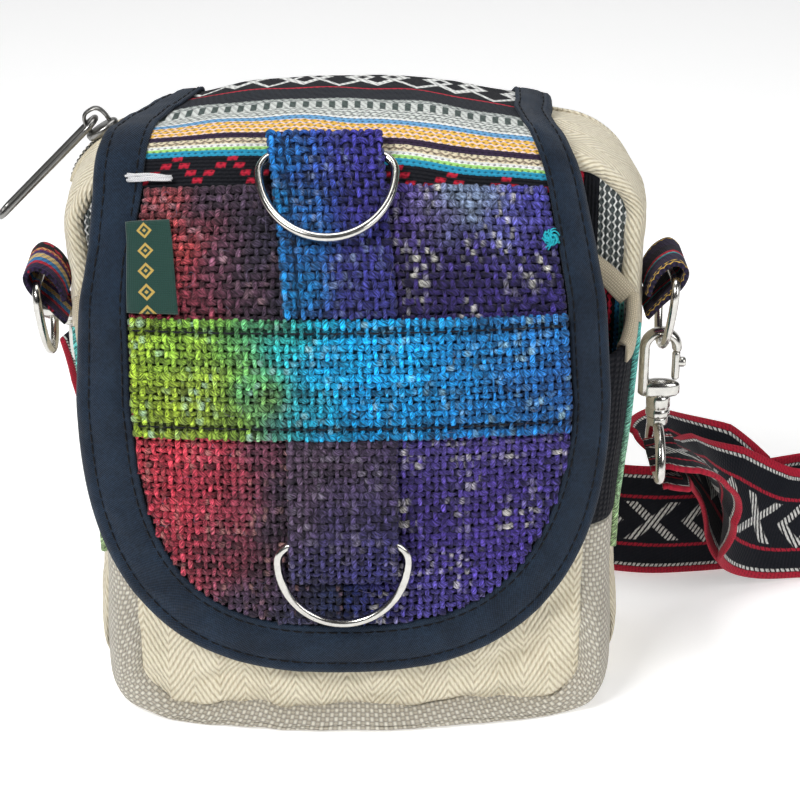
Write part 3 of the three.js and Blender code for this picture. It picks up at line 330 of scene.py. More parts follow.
def loft(rings: Array, uv: Array) -> Surface:
    """Closed skin over rings of points (rows, columns, 3), with a flat cap on each end ring.

    Args:
        rings: The rings, each joined on itself.
        uv: Pattern coordinates with one more column than the rings.

    Returns:
        The skin, turned outward.
    """
    rows, columns = rings.shape[:2]
    q = quads(rows, columns, True)
    ends = [np.arange(columns)[::-1][None], (rows - 1) * columns + np.arange(columns)[None]]
    caps = [np.zeros((1, columns, 2)) + uv[k, 0] for k in (0, -1)]
    faces = [q[0] * columns + q[1] % columns, *ends]
    return Surface(rings.reshape(-1, 3), faces, [uv[q[0], q[1]], *caps]).outward()


def stitches(line: Array, normals: Array, pitch: float, share: float, radius: float, sink: float) -> Surface:
    """Sewn thread: short humps along a line, each rising out of the cloth and going back in.

    Args:
        line: Points of the seam (steps, 3).
        normals: Directions off the cloth.
        pitch: Length from stitch to stitch.
        share: Share of the pitch that shows.
        radius: Radius of the thread.
        sink: Depth of the thread's ends under the line.

    Returns:
        One tube for each stitch.
    """
    run = run_along(line)
    count = max(1, int(run[-1] / pitch))
    t = np.linspace(-0.5, 0.5, 6)
    at = (np.arange(count)[:, None] + 0.5 + t * share) * run[-1] / count
    place, off = (np.stack(read(np.c_[run, rows], at), -1) for rows in (line, normals))
    off = unit(off)
    place = place + off * (radius * 0.6 - sink * (2 * t) ** 4)[None, :, None]
    size = np.full(at.shape, radius)
    return tubes(place, off, size, size, 5)


def show(name: str, data: bpy.types.ID) -> bpy.types.Object:
    """Makes an object of its data and links it to the scene."""
    made = bpy.data.objects.new(name, data)
    bpy.context.scene.collection.objects.link(made)
    return made


def put(name: str, surface: Surface, finish: Material, stands_for: str = "",
        body: str = BODY) -> bpy.types.Object:
    """Makes an object of a surface, in metres at the origin, and rides it on its body.

    Args:
        name: The piece's name.
        surface: Its points, faces, pattern coordinates and dye.
        finish: Its material.
        stands_for: The solid that it replaces, if any.
        body: The body that carries it.

    Returns:
        The new object.
    """
    mesh = bpy.data.meshes.new(name)
    sizes = np.concatenate([np.full(len(f), f.shape[1]) for f in surface.faces])
    corners = np.concatenate([f.ravel() for f in surface.faces]).astype(np.int32)
    mesh.vertices.add(len(surface.points))
    mesh.vertices.foreach_set("co", (surface.points * MM).astype(np.float32).ravel())
    mesh.loops.add(len(corners))
    mesh.loops.foreach_set("vertex_index", corners)
    mesh.polygons.add(len(sizes))
    mesh.polygons.foreach_set("loop_start", np.r_[0, np.cumsum(sizes)[:-1]].astype(np.int32))
    mesh.polygons.foreach_set("use_smooth", np.ones(len(sizes), bool))
    uv = np.concatenate([u.reshape(-1) for u in surface.uvs]).astype(np.float32)
    mesh.uv_layers.new(name="cloth").uv.foreach_set("vector", uv)
    # The dye attribute is each point's colour: the dye, and on woven yarns painted shade and painted
    # highlight too
    if surface.dye is not None:
        dye = np.c_[surface.dye, np.ones(len(surface.dye))].astype(np.float32)
        mesh.attributes.new("dye", "FLOAT_COLOR", "POINT").data.foreach_set("color", dye.ravel())
    mesh.update(calc_edges=True)
    mesh.validate()
    mesh.materials.append(finish)
    piece = show(name, mesh)
    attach(piece, body)
    if stands_for:
        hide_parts(stands_for)
    LOG.info("%s: %d faces", name, len(sizes))
    return piece


# Shader building blocks

class Num:
    """A number in a shader tree that can be used in plain arithmetic."""

    def __init__(self, tree: Tree, socket: Socket) -> None:
        """Keeps the tree and the socket that gives the number."""
        self.tree = tree
        self.socket = socket

    def op(self, name: str, *others: "Num | float") -> "Num":
        """Adds one Math node on this number and up to two others.

        Args:
            name: The node's operation.
            others: The other numbers.

        Returns:
            The result.
        """
        node = self.tree.nodes.new("ShaderNodeMath")
        node.operation = name
        for slot, value in zip(node.inputs, (self, *others)):
            if isinstance(value, Num):
                self.tree.links.new(value.socket, slot)
            else:
                slot.default_value = value
        return Num(self.tree, node.outputs[0])

    def __add__(self, other: "Num | float") -> "Num":
        """Sum."""
        return self.op("ADD", other)

    def __sub__(self, other: "Num | float") -> "Num":
        """Difference."""
        return self.op("SUBTRACT", other)

    def __mul__(self, other: "Num | float") -> "Num":
        """Product."""
        return self.op("MULTIPLY", other)

    def __truediv__(self, other: "Num | float") -> "Num":
        """Quotient."""
        return self.op("DIVIDE", other)

    def __abs__(self) -> "Num":
        """Absolute value."""
        return self.op("ABSOLUTE")

    def held(self, most: float = 1.0) -> "Num":
        """Keeps the number between 0 and most."""
        return self.op("MAXIMUM", 0.0).op("MINIMUM", most)

    def cycle(self, length: "Num | float") -> "Num":
        """Place within a repeat of that length, from 0 to 1."""
        return (self / length).op("FRACT")

    def wave(self, length: "Num | float") -> "Num":
        """Triangle wave over a repeat of that length, 0 at its ends and 1 in its middle."""
        return abs(self.cycle(length) - 0.5).op("MULTIPLY_ADD", -2.0, 1.0)

    def below(self, edge: "Num | float", soft: float) -> "Num":
        """1 below an edge and 0 above it, over a soft step."""
        return ((self - edge) / soft).op("MULTIPLY_ADD", -1.0, 0.5).held()

    def above(self, edge: float, slope: float, most: float = 1.0) -> "Num":
        """0 below an edge, rising above it by a slope to most."""
        return ((self - edge) * slope).held(most)

    def odd(self, pitch: float) -> "Num":
        """1 on every second row of that pitch and 0 on the others."""
        return (self / (2 * pitch) + 0.25).op("FRACT").op("GREATER_THAN", 0.5)


class Graph:
    """A node tree with short calls for the nodes that the finishes use."""

    def __init__(self, tree: Tree) -> None:
        """Keeps the tree."""
        self.tree = tree

    def node(self, kind: str) -> Node:
        """Adds a node of that kind."""
        return self.tree.nodes.new("ShaderNode" + kind)

    def link(self, source: "Num | Socket", target: Socket) -> None:
        """Links a socket or number to an input."""
        self.tree.links.new(source.socket if isinstance(source, Num) else source, target)

    def cloth(self) -> tuple[Num, Num]:
        """Pattern coordinates of the piece in mm, across and along."""
        uv = self.node("UVMap")
        uv.uv_map = "cloth"
        apart = self.node("SeparateXYZ")
        self.link(uv.outputs[0], apart.inputs[0])
        return Num(self.tree, apart.outputs[0]), Num(self.tree, apart.outputs[1])

    def grain(self, place: Socket, detail: float) -> Num:
        """Noise at a place that is already scaled to its grain."""
        noise = self.node("TexNoise")
        noise.inputs["Scale"].default_value = 1.0
        noise.inputs["Detail"].default_value = detail
        self.link(place, noise.inputs["Vector"])
        return Num(self.tree, noise.outputs["Fac"])

    def noise(self, size: float, detail: float = 2.0) -> Num:
        """Noise over the object, with grains of about size mm."""
        scale = self.node("Mapping")
        scale.inputs["Scale"].default_value = [1 / (size * MM)] * 3
        self.link(self.node("TexCoord").outputs["Object"], scale.inputs["Vector"])
        return self.grain(scale.outputs[0], detail)

    def streaks(self, u: Num, v: Num, long: float, wide: float) -> Num:
        """Noise drawn out along the cloth's own u, with streaks of about long by wide mm."""
        joined = self.node("CombineXYZ")
        for value, slot in zip((u / long, v / wide, self.noise(30.0, 0.0) * 60.0), joined.inputs):
            self.link(value, slot)
        return self.grain(joined.outputs[0], 2.0)

    def mix(self, share: "Num | float", a: "Socket | Rgb", b: "Socket | Rgb", blend: str = "MIX") -> Socket:
        """Blends one colour over another.

        Args:
            share: How much of b shows.
            a: The colour below, as a socket or fixed.
            b: The colour over it.
            blend: Blender's name for the way they join.

        Returns:
            The joined colour.
        """
        node = self.node("Mix")
        node.data_type = "RGBA"
        node.blend_type = blend
        # The colour sockets share their names with the number sockets, so they go by place
        for place, value in ((0, share), (6, a), (7, b)):
            if isinstance(value, (Num, Socket)):
                self.link(value, node.inputs[place])
            else:
                node.inputs[place].default_value = linear(value) if place else value
        return node.outputs[2]

    def bands(self, place: Num, edges: Sequence[float], colours: Sequence[Rgb]) -> Socket:
        """Colours in bands: each holds from its edge, given from 0 to 1, to the next.

        Args:
            place: Where along the bands, from 0 to 1.
            edges: Where each band starts.
            colours: A colour for each band.

        Returns:
            The colour.
        """
        ramp = self.node("ValToRGB")
        ramp.color_ramp.interpolation = "CONSTANT"
        stops = ramp.color_ramp.elements
        stops.remove(stops[1])
        for k, (edge, rgb) in enumerate(zip(edges, colours)):
            stop = stops[0] if k == 0 else stops.new(edge)
            stop.position = edge
            stop.color = linear(rgb)
        self.link(place, ramp.inputs[0])
        return ramp.outputs[0]

    def group(self, tree: Tree, **values: "Num | float") -> dict[str, Num]:
        """Places a node group.

        Args:
            tree: The group.
            values: Its inputs by name, in small letters.

        Returns:
            Its outputs by name.
        """
        node = self.node("Group")
        node.node_tree = tree
        for name, value in values.items():
            slot = node.inputs[name.title()]
            if isinstance(value, Num):
                self.link(value, slot)
            else:
                slot.default_value = value
        return {s.name: Num(self.tree, s) for s in node.outputs}


def new_group(name: str, inputs: dict[str, float],
              outputs: Sequence[str]) -> tuple[Graph, dict[str, Num], Node]:
    """Starts a shader node group with named sockets.

    Args:
        name: The group's name.
        inputs: Number inputs and their defaults.
        outputs: Names of its number outputs.

    Returns:
        The group's graph, its inputs as numbers, and its output node.
    """
    tree = bpy.data.node_groups.new(name, "ShaderNodeTree")
    kind = "NodeSocketFloat"
    for key, value in inputs.items():
        tree.interface.new_socket(key, in_out="INPUT", socket_type=kind).default_value = value
    for key in outputs:
        tree.interface.new_socket(key, in_out="OUTPUT", socket_type=kind)
    entry = tree.nodes.new("NodeGroupInput")
    leave = tree.nodes.new("NodeGroupOutput")
    return Graph(tree), {k: Num(tree, entry.outputs[k]) for k in inputs}, leave


def plain_weave_group() -> Tree:
    """Plain weave: in each cell of a chequer either the warp or the weft lies on top, rounded across.

    Returns:
        The group's tree.
    """
    g, at, out = new_group("plain_weave", {"Across": 0, "Along": 0, "Warp": 1.0, "Weft": 1.0},
                           ("Height", "Over"))
    column, row = at["Across"] / at["Warp"], at["Along"] / at["Weft"]
    over = (column.op("FLOOR") + row.op("FLOOR")).cycle(2.0).below(0.25, 0.01)
    warp = (column.wave(1.0) * QUARTER).op("SINE") * row.wave(1.0).op("MULTIPLY_ADD", 0.6, 0.4)
    weft = (row.wave(1.0) * QUARTER).op("SINE") * column.wave(1.0).op("MULTIPLY_ADD", 0.6, 0.4)
    g.link(weft + (warp - weft) * over, out.inputs["Height"])
    g.link(over, out.inputs["Over"])
    return g.tree


def herringbone_group() -> Tree:
    """Herringbone twill: slanting ribs that turn back on themselves at each chevron column.

    Returns:
        The group's tree.
    """
    inputs = {"Across": 0, "Along": 0, "Chevron": 15.0, "Rib": 2.7, "Slant": 1.6}
    g, at, out = new_group("herringbone", inputs, ("Height", "Line"))
    zigzag = at["Across"].wave(at["Chevron"]) * at["Chevron"] * 0.5 * at["Slant"]
    place = at["Along"] + zigzag
    rib = (place.wave(at["Rib"]) * QUARTER).op("SINE")
    thread = (at["Across"] + at["Along"] * 0.12).wave(at["Rib"] * 0.44)
    g.link(rib * 0.7 + rib * thread * 0.5, out.inputs["Height"])
    # Line is high in the low places between the ribs and the threads, where the finish paints shade
    g.link(place.wave(at["Rib"]).below(0.4, 0.5) * 0.8 + thread.below(0.35, 0.5) * 0.3, out.inputs["Line"])
    return g.tree


def fibre_group() -> Tree:
    """Uneven yarn: broad and fine noise joined, as a shade round one half and a fuzzy height."""
    g, at, out = new_group("fibre", {"Amount": 1.0}, ("Shade", "Fuzz"))
    broad, fine, hair = g.noise(9.0), g.noise(0.9, 3.0), g.noise(0.35, 3.0)
    g.link(((broad - 0.5) * 0.6 + (fine - 0.5) * 0.7) * at["Amount"] + 0.5, out.inputs["Shade"])
    g.link(fine * 0.5 + hair * 0.5, out.inputs["Fuzz"])
    return g.tree


PLAIN_WEAVE = plain_weave_group()
HERRINGBONE = herringbone_group()
FIBRE = fibre_group()


def uneven(g: Graph) -> tuple[Num, Num]:
    """Uneven yarn for a material: its shade round nothing, and its fuzz."""
    made = g.group(FIBRE)
    return made["Shade"] - 0.5, made["Fuzz"]


def new_material(name: str, **values: float) -> tuple[Material, Graph, Node]:
    """Starts a material.

    Args:
        name: Its name.
        values: Constants of its shader, by socket name with low lines for spaces.

    Returns:
        The material, its graph and its Principled shader.
    """
    material = bpy.data.materials.new(name)
    material.use_nodes = True
    shader = material.node_tree.nodes["Principled BSDF"]
    for socket, value in values.items():
        shader.inputs[socket.replace("_", " ")].default_value = value
    return material, Graph(material.node_tree), shader


def dress(g: Graph, shader: Node, tone: Socket, height: Num, depth: float) -> None:
    """Feeds a colour to the shader, and a height through a Bump node to its normal.

    Args:
        g: The material's graph.
        shader: Its Principled shader.
        tone: The colour.
        height: Relief from 0 to about 1.
        depth: Depth of the relief in mm.
    """
    bump = g.node("Bump")
    bump.inputs["Distance"].default_value = depth * MM
    g.link(height, bump.inputs["Height"])
    g.link(bump.outputs[0], shader.inputs["Normal"])
    g.link(tone, shader.inputs["Base Color"])


# Finishes

Paint = tuple[Socket, Num, float]


@dataclass(frozen=True)
class Cloth:
    """A cloth finish with a soft sheen. Each kind paints its colour, its relief and the relief's depth."""

    name: str
    rough: ClassVar[float] = 0.95
    sheen: ClassVar[float] = 0.2

    def paint(self, g: Graph) -> Paint:
        """Paints the cloth in a graph."""
        raise NotImplementedError

    def make(self) -> Material:
        """Makes the material."""
        material, g, shader = new_material(self.name, Roughness=self.rough, Specular_IOR_Level=0.25,
                                           Sheen_Weight=self.sheen, Sheen_Roughness=0.5)
        dress(g, shader, *self.paint(g))
        return material


@dataclass(frozen=True)
class HerringboneHemp(Cloth):
    """Undyed hemp twill with chevron columns."""

    light: Rgb = (236, 228, 204)
    # Painted shade in the lines between the ribs, also the darker side of the yarn's uneven tone
    dark: Rgb = (186, 170, 138)
    chevron: float = 15.0
    rib: float = 2.7
    sheen: ClassVar[float] = 0.25

    def paint(self, g: Graph) -> Paint:
        """Paints light ribs, painted shade in the lines between them, and uneven yarn."""
        across, along = g.cloth()
        twill = g.group(HERRINGBONE, across=across, along=along, chevron=self.chevron, rib=self.rib)
        shade, fuzz = uneven(g)
        tone = g.mix(twill["Line"] * 0.75 + shade * 0.8, self.light, self.dark)
        return tone, twill["Height"] + fuzz * 0.6, 0.4


@dataclass(frozen=True)
class PlainCloth(Cloth):
    """Plain-woven cloth of two yarn colours."""

    warp: Rgb
    weft: Rgb
    warp_pitch: float
    weft_pitch: float
    depth: float

    def paint(self, g: Graph) -> Paint:
        """Paints warp over weft in a chequer, with painted shade in the hollows between the yarns."""
        across, along = g.cloth()
        weave = g.group(PLAIN_WEAVE, across=across, along=along, warp=self.warp_pitch, weft=self.weft_pitch)
        shade, fuzz = uneven(g)
        tone = g.mix(weave["Over"] * 0.8 + shade * 0.9, self.weft, self.warp)
        # Painted shade: the weft colour at 0.55 of its strength where the weave lies low
        tone = g.mix(weave["Height"].below(0.45, 0.5) * 0.55, tone, darker(self.weft, 0.55))
        return tone, weave["Height"] + fuzz * 0.3, self.depth


class Motif(Enum):
    """What is woven into a stripe over its ground colour."""

    NONE = 0
    DOTS = 1
    ZIGZAG = 2
    DIAMOND = 3
    BARS = 4


@dataclass(frozen=True)
class Stripe:
    """One woven stripe: its width, ground colour, figure colour and motif."""

    width: float
    ground: Rgb
    figure: Rgb = (0, 0, 0)
    motif: Motif = Motif.NONE


@dataclass(frozen=True)
class StripedCloth(Cloth):
    """Cotton woven in stripes along the warp, with dotted, zigzag, barred and diamond figures."""

    stripes: tuple[Stripe, ...]
    start: float = 0.0
    dot: float = 2.4
    row: float = 1.05
    dot_row: float = 1.5
    zigzag: float = 14.0
    zigzag_row: float = 2.1
    bar: float = 3.3
    diamond: float = 20.0
    sheen: ClassVar[float] = 0.04

    def paint(self, g: Graph) -> Paint:
        """Paints bands of ground colour, figures switched on per band, and slanting picks in brick order,
        with painted shade between the picks.

        Args:
            g: The material's nodes.

        Returns:
            The colour, the relief and the relief's depth.
        """
        across, along = g.cloth()
        widths = np.array([s.width for s in self.stripes])
        whole = float(widths.sum())
        edges = (np.r_[0, np.cumsum(widths)[:-1]] / whole).tolist()
        centres = (np.cumsum(widths) - widths / 2) / whole
        place = (along - self.start + (g.noise(1.1) - 0.5) * 0.5).cycle(whole)
        tone = g.bands(place, edges, [s.ground for s in self.stripes])
        figure = g.bands(place, edges, [s.figure for s in self.stripes])
        for motif in sorted({s.motif for s in self.stripes} - {Motif.NONE}, key=lambda m: m.value):
            worn = [s.motif is motif for s in self.stripes]
            mask = Num(g.tree, g.bands(place, edges, [(255 * on,) * 3 for on in worn]))
            off = (place - float(centres[worn.index(True)])) * whole
            tone = g.mix(mask * self.draw(motif, across, along, off), tone, figure)
        pick = (across + along.odd(self.row) * (0.8 * self.row) + along * 0.4).wave(1.6 * self.row)
        thread = pick * 0.5 + along.wave(self.row) * 0.5
        shade, fuzz = uneven(g)
        # Painted shade between the picks, mixed with the yarn's uneven tone
        tone = g.mix(thread.below(0.3, 0.26) * 0.7 + shade * 0.4, tone, (18, 18, 24))
        return tone, thread + fuzz * 0.4, 0.55

    def draw(self, motif: Motif, across: Num, along: Num, off: Num) -> Num:
        """Mask of one motif.

        Args:
            motif: The motif to draw.
            across: Place along the stripe in mm.
            along: Place over the stripes in mm.
            off: Distance over the stripe's middle in mm.

        Returns:
            1 on the motif and 0 off it.
        """
        if motif is Motif.DOTS:
            shifted = across + along.odd(self.dot_row) * (self.dot / 2)
            return (shifted.wave(self.dot) * 0.6 + along.wave(self.dot_row) * 0.6).above(0.64, 7.0)
        if motif is Motif.ZIGZAG:
            row = ((off / self.zigzag_row).op("FLOOR") + 0.5) * self.zigzag_row
            line = ((across + off * 0.4).wave(self.zigzag) - 0.5) * (3 * self.zigzag_row)
            return abs(row - line).below(1.15, 0.3) * abs(off - row).below(0.75, 0.3)
        if motif is Motif.BARS:
            return across.wave(self.bar).above(0.45, 7.0)
        cell = abs(across.cycle(self.diamond) - 0.5) * self.diamond
        ring = abs(cell + abs(off) * 1.1 - 7.0)
        arms = abs(cell - abs(off) - 1.5)
        return (ring.below(1.5, 0.4) + arms.below(0.9, 0.4)).op("MINIMUM", 1.0)


@dataclass(frozen=True)
class DyedHemp(Cloth):
    """Coarse tie-dyed hemp yarn: its colour is the dye on each point, with twisted plies in painted shade and
    painted highlight.
    """

    name: str = "dyed_hemp_yarn"
    long: float = 3.2
    wide: float = 0.34
    # Pale colour added on the ply tops: loose fibre, and painted highlight
    lint_and_highlight: Rgb = (64, 62, 70)
    rough: ClassVar[float] = 0.85
    sheen: ClassVar[float] = 0.06

    def paint(self, g: Graph) -> Paint:
        """Paints the dye with painted shade between the plies, and a painted highlight on top of them: the
        dye doubled and whitened.

        Args:
            g: The material's nodes.

        Returns:
            The colour, the relief and the relief's depth.
        """
        dye = g.node("Attribute")
        dye.attribute_name = "dye"
        ground = dye.outputs["Color"]
        along, around = g.cloth()
        ply = g.streaks(along - around * 1.3, along + around * 0.9, self.long, self.wide)
        # Painted shade: near black between the plies
        tone = g.mix(ply.below(0.47, 0.16) * 0.82, ground, (9, 8, 14))
        # Painted highlight on the ply tops: the dye doubled, with the pale colour added
        lit = g.mix(1.0, g.mix(1.0, ground, ground, "ADD"), self.lint_and_highlight, "ADD")
        tone = g.mix(ply.above(0.56, 4.0, 0.5) * 1.15, tone, lit)
        return tone, ply * 1.2 + g.group(FIBRE)["Fuzz"] * 0.5, 0.3


@dataclass(frozen=True)
class TwillTape(Cloth):
    """Smooth cotton tape with a fine diagonal rib."""

    tone: Rgb
    # Paler colour: rubbed places, and painted highlight on the ribs
    worn: Rgb
    rib: float
    rough: ClassVar[float] = 0.9
    sheen: ClassVar[float] = 0.1

    def paint(self, g: Graph) -> Paint:
        """Paints the tape's colour, paler where it is rubbed and as painted highlight on the diagonal ribs,
        with fine diagonal relief.
        """
        across, along = g.cloth()
        rib = (across + along).wave(self.rib)
        cross = (across - along).wave(self.rib * 1.3)
        shade, fuzz = uneven(g)
        # Uneven tone gives the rubbed places; the rib and cross terms are painted highlight on the ridges
        tone = g.mix(shade * 0.7 + rib * 0.35 + cross * 0.1, self.tone, self.worn)
        return tone, rib * 0.6 + cross * 0.3 + fuzz * 0.4, 0.2


@dataclass(frozen=True)
class StrapWeave(Cloth):
    """Black cotton webbing with red edges and a white row of crosses and lozenges."""

    name: str = "woven_strap"
    black: Rgb = (9, 13, 23)
    red: Rgb = (170, 26, 50)
    white: Rgb = (216, 216, 212)
    pitch: float = 34.0
    lane: float = 6.8
    stroke: float = 1.9
    lozenge: float = 6.4
    line_at: float = 8.6
    dots_at: float = 15.8
    edge_from: float = 16.5
    rough: ClassVar[float] = 0.92
    sheen: ClassVar[float] = 0.05

    def paint(self, g: Graph) -> Paint:
        """Paints lanes by the distance from the middle, figures in the middle lane, and painted shade between
        the threads.

        A cross is where |along - its middle| equals |across|; a lozenge is where the two add up to
        its reach. Both are cut into slanting stitches.

        Args:
            g: The material's nodes.

        Returns:
            The colour, the relief and the relief's depth.
        """
        across, along = g.cloth()
        off = abs(across) + (g.noise(1.0) - 0.5) * 0.5
        spot, other = (abs(along.cycle(self.pitch) - at) * self.pitch for at in (0.25, 0.75))
        cross = abs(spot - off).below(self.stroke, 0.5) * off.below(self.lane, 0.3)
        ring = abs(other * 1.05 + off - self.lozenge).below(self.stroke, 0.5)
        figures = (cross + ring).op("MINIMUM", 1.0) * (along + across * 0.6).wave(1.5).above(0.3, 5.0)
        dots = abs(off - self.dots_at).below(0.5, 0.25) * (along + across * 0.5).cycle(1.4).below(0.66, 0.2)
        edge = off.below(self.edge_from, 0.4).op("MULTIPLY_ADD", -1.0, 1.0)
        line = abs(off - self.line_at).below(0.55, 0.3) * (along + across * 0.7).cycle(1.6).below(0.84, 0.15)
        thread = along.wave(1.0) * 0.6 + (across + along * 0.5).wave(1.2) * 0.4
        shade, fuzz = uneven(g)
        tone = g.mix((edge + line).op("MINIMUM", 1.0), self.black, self.red)
        tone = g.mix((figures + dots).op("MINIMUM", 1.0), tone, self.white)
        # Painted shade between the threads, mixed with the yarn's uneven tone
        tone = g.mix(thread.below(0.35, 0.5) * 0.45 + shade * 0.4, tone, (8, 9, 14))
        raised = (figures + dots + edge * 0.6).op("MINIMUM", 1.0)
        return tone, thread * 0.5 + raised * 0.8 + fuzz * 0.3, 0.3


@dataclass(frozen=True)
class WovenTab(Cloth):
    """Dark green woven tab with a column of small gold lozenges."""

    name: str = "woven_tab"
    green: Rgb = (7, 58, 49)
    gold: Rgb = (186, 156, 78)
    column: float = 5.2
    pitch: float = 5.4
    reach: float = 1.75
    rough: ClassVar[float] = 0.6
    sheen: ClassVar[float] = 0.3

    def paint(self, g: Graph) -> Paint:
        """Paints satin ribs with painted shade between them, and lozenges where |across| + |along| is near
        their reach.
        """
        across, along = g.cloth()
        far = abs(across - self.column) + abs(along.cycle(self.pitch) - 0.5) * self.pitch
        ring = abs(far - self.reach).below(0.42, 0.15) + far.below(0.55, 0.15)
        rib = along.wave(0.45) * 0.5 + across.wave(0.5) * 0.5
        # Painted shade between the satin ribs
        tone = g.mix(rib.below(0.4, 0.4) * 0.5, self.green, (6, 30, 26))
        return g.mix(ring.op("MINIMUM", 1.0), tone, self.gold), rib + ring * 0.6, 0.12


@dataclass(frozen=True)
class Thread(Cloth):
    """Sewing thread or loose fibre of one colour, with a faint twist."""

    tone: Rgb
    rough: ClassVar[float] = 0.85
    sheen: ClassVar[float] = 0.06

    def paint(self, g: Graph) -> Paint:
        """Paints the thread's colour with painted shade in the twist lines."""
        along, around = g.cloth()
        twist = (along * 2.2 + around * 2.0).wave(1.0)
        # Painted shade in the twist lines
        return g.mix(twist.below(0.4, 0.5) * 0.8, self.tone, darker(self.tone, 0.6)), twist, 0.06


@dataclass(frozen=True)
class Metal:
    """Plated metal with faint rubbing marks."""

    name: str
    tone: Rgb
    rough: float

    def make(self) -> Material:
        """Makes the material: metal colour, roughness from fine and broad noise."""
        material, g, shader = new_material(self.name, Metallic=1.0)
        rubbed = (g.noise(3.0, 3.0) - 0.5) * 0.16 + (g.noise(0.6, 3.0) - 0.5) * 0.1 + self.rough
        g.link(rubbed.op("MAXIMUM", 0.04), shader.inputs["Roughness"])
        tone = g.mix(g.noise(2.0, 3.0), self.tone, darker(self.tone, 0.82))
        dress(g, shader, tone, g.noise(1.5), 0.02)
        return material


BLACK, RED, WHITE = (16, 18, 25), (190, 34, 58), (240, 241, 238)
YELLOW, PLUM = (226, 186, 84), (46, 38, 64)
# Along the flap, from striped_from past its seam on the back
TOP_STRIPES = (
    Stripe(18.5, BLACK, WHITE, Motif.DIAMOND),
    Stripe(1.4, RED),
    Stripe(9.0, (30, 35, 44)),
    Stripe(2.8, (206, 211, 208), (112, 122, 118), Motif.DOTS),
    Stripe(5.0, (224, 228, 224), (78, 92, 88), Motif.BARS),
    Stripe(4.6, (226, 230, 226), (138, 146, 142), Motif.DOTS),
    Stripe(0.8, WHITE),
    Stripe(0.8, (176, 52, 92)),
    Stripe(1.4, (110, 168, 214)),
    Stripe(4.6, (240, 190, 84), (246, 222, 222), Motif.DOTS),
    Stripe(1.9, (52, 38, 62)),
    Stripe(1.7, (226, 214, 184), (150, 134, 116), Motif.DOTS),
    Stripe(1.0, WHITE),
    Stripe(1.1, (170, 226, 130)),
    Stripe(2.0, (44, 152, 190)),
    Stripe(7.4, BLACK, RED, Motif.ZIGZAG),
    Stripe(170.0, BLACK),
)
# The wall's and the back's are measured out from the bag's middle
WALL_STRIPES = (
    Stripe(40.0, BLACK, WHITE, Motif.DIAMOND),
    Stripe(18.6, BLACK, RED, Motif.ZIGZAG),
    Stripe(2.2, RED),
    Stripe(4.4, BLACK),
    Stripe(8.0, (78, 86, 86), WHITE, Motif.DOTS),
    Stripe(10.0, BLACK),
)
BACK_STRIPES = (
    Stripe(40.0, BLACK, WHITE, Motif.DIAMOND),
    Stripe(26.4, (30, 35, 44)),
    Stripe(3.0, RED, BLACK, Motif.DOTS),
    Stripe(0.8, BLACK),
    Stripe(1.4, (50, 140, 190)),
    Stripe(1.2, (110, 200, 190)),
    Stripe(1.0, WHITE),
    Stripe(12.0, BLACK),
)
SIDE_STRIPES = (
    Stripe(17.0, BLACK),
    Stripe(1.8, RED),
    Stripe(1.4, BLACK, WHITE, Motif.DOTS),
    Stripe(2.4, (120, 206, 160)),
    Stripe(3.0, (60, 170, 190)),
    Stripe(6.0, (30, 60, 130)),
    Stripe(2.0, WHITE),
    Stripe(3.0, RED),
    Stripe(7.0, (120, 126, 116), WHITE, Motif.DOTS),
)
TAB_STRIPES = (
    Stripe(3.4, (52, 38, 72)),
    Stripe(1.8, RED),
    Stripe(2.6, (60, 130, 190)),
    Stripe(3.0, (200, 184, 150), (240, 200, 90), Motif.DOTS),
    Stripe(2.2, (70, 44, 104)),
    Stripe(2.0, (186, 70, 80), (240, 210, 110), Motif.DOTS),
    Stripe(5.0, BLACK, RED, Motif.ZIGZAG),
)
RIGHT_TAB_STRIPES = (
    Stripe(2.2, PLUM, YELLOW, Motif.DOTS),
    Stripe(5.0, PLUM),
    Stripe(1.0, (60, 150, 160)),
    Stripe(1.2, RED),
    Stripe(4.2, (34, 32, 46)),
    Stripe(4.2, PLUM),
    Stripe(2.2, PLUM, YELLOW, Motif.DOTS),
)


# Studio

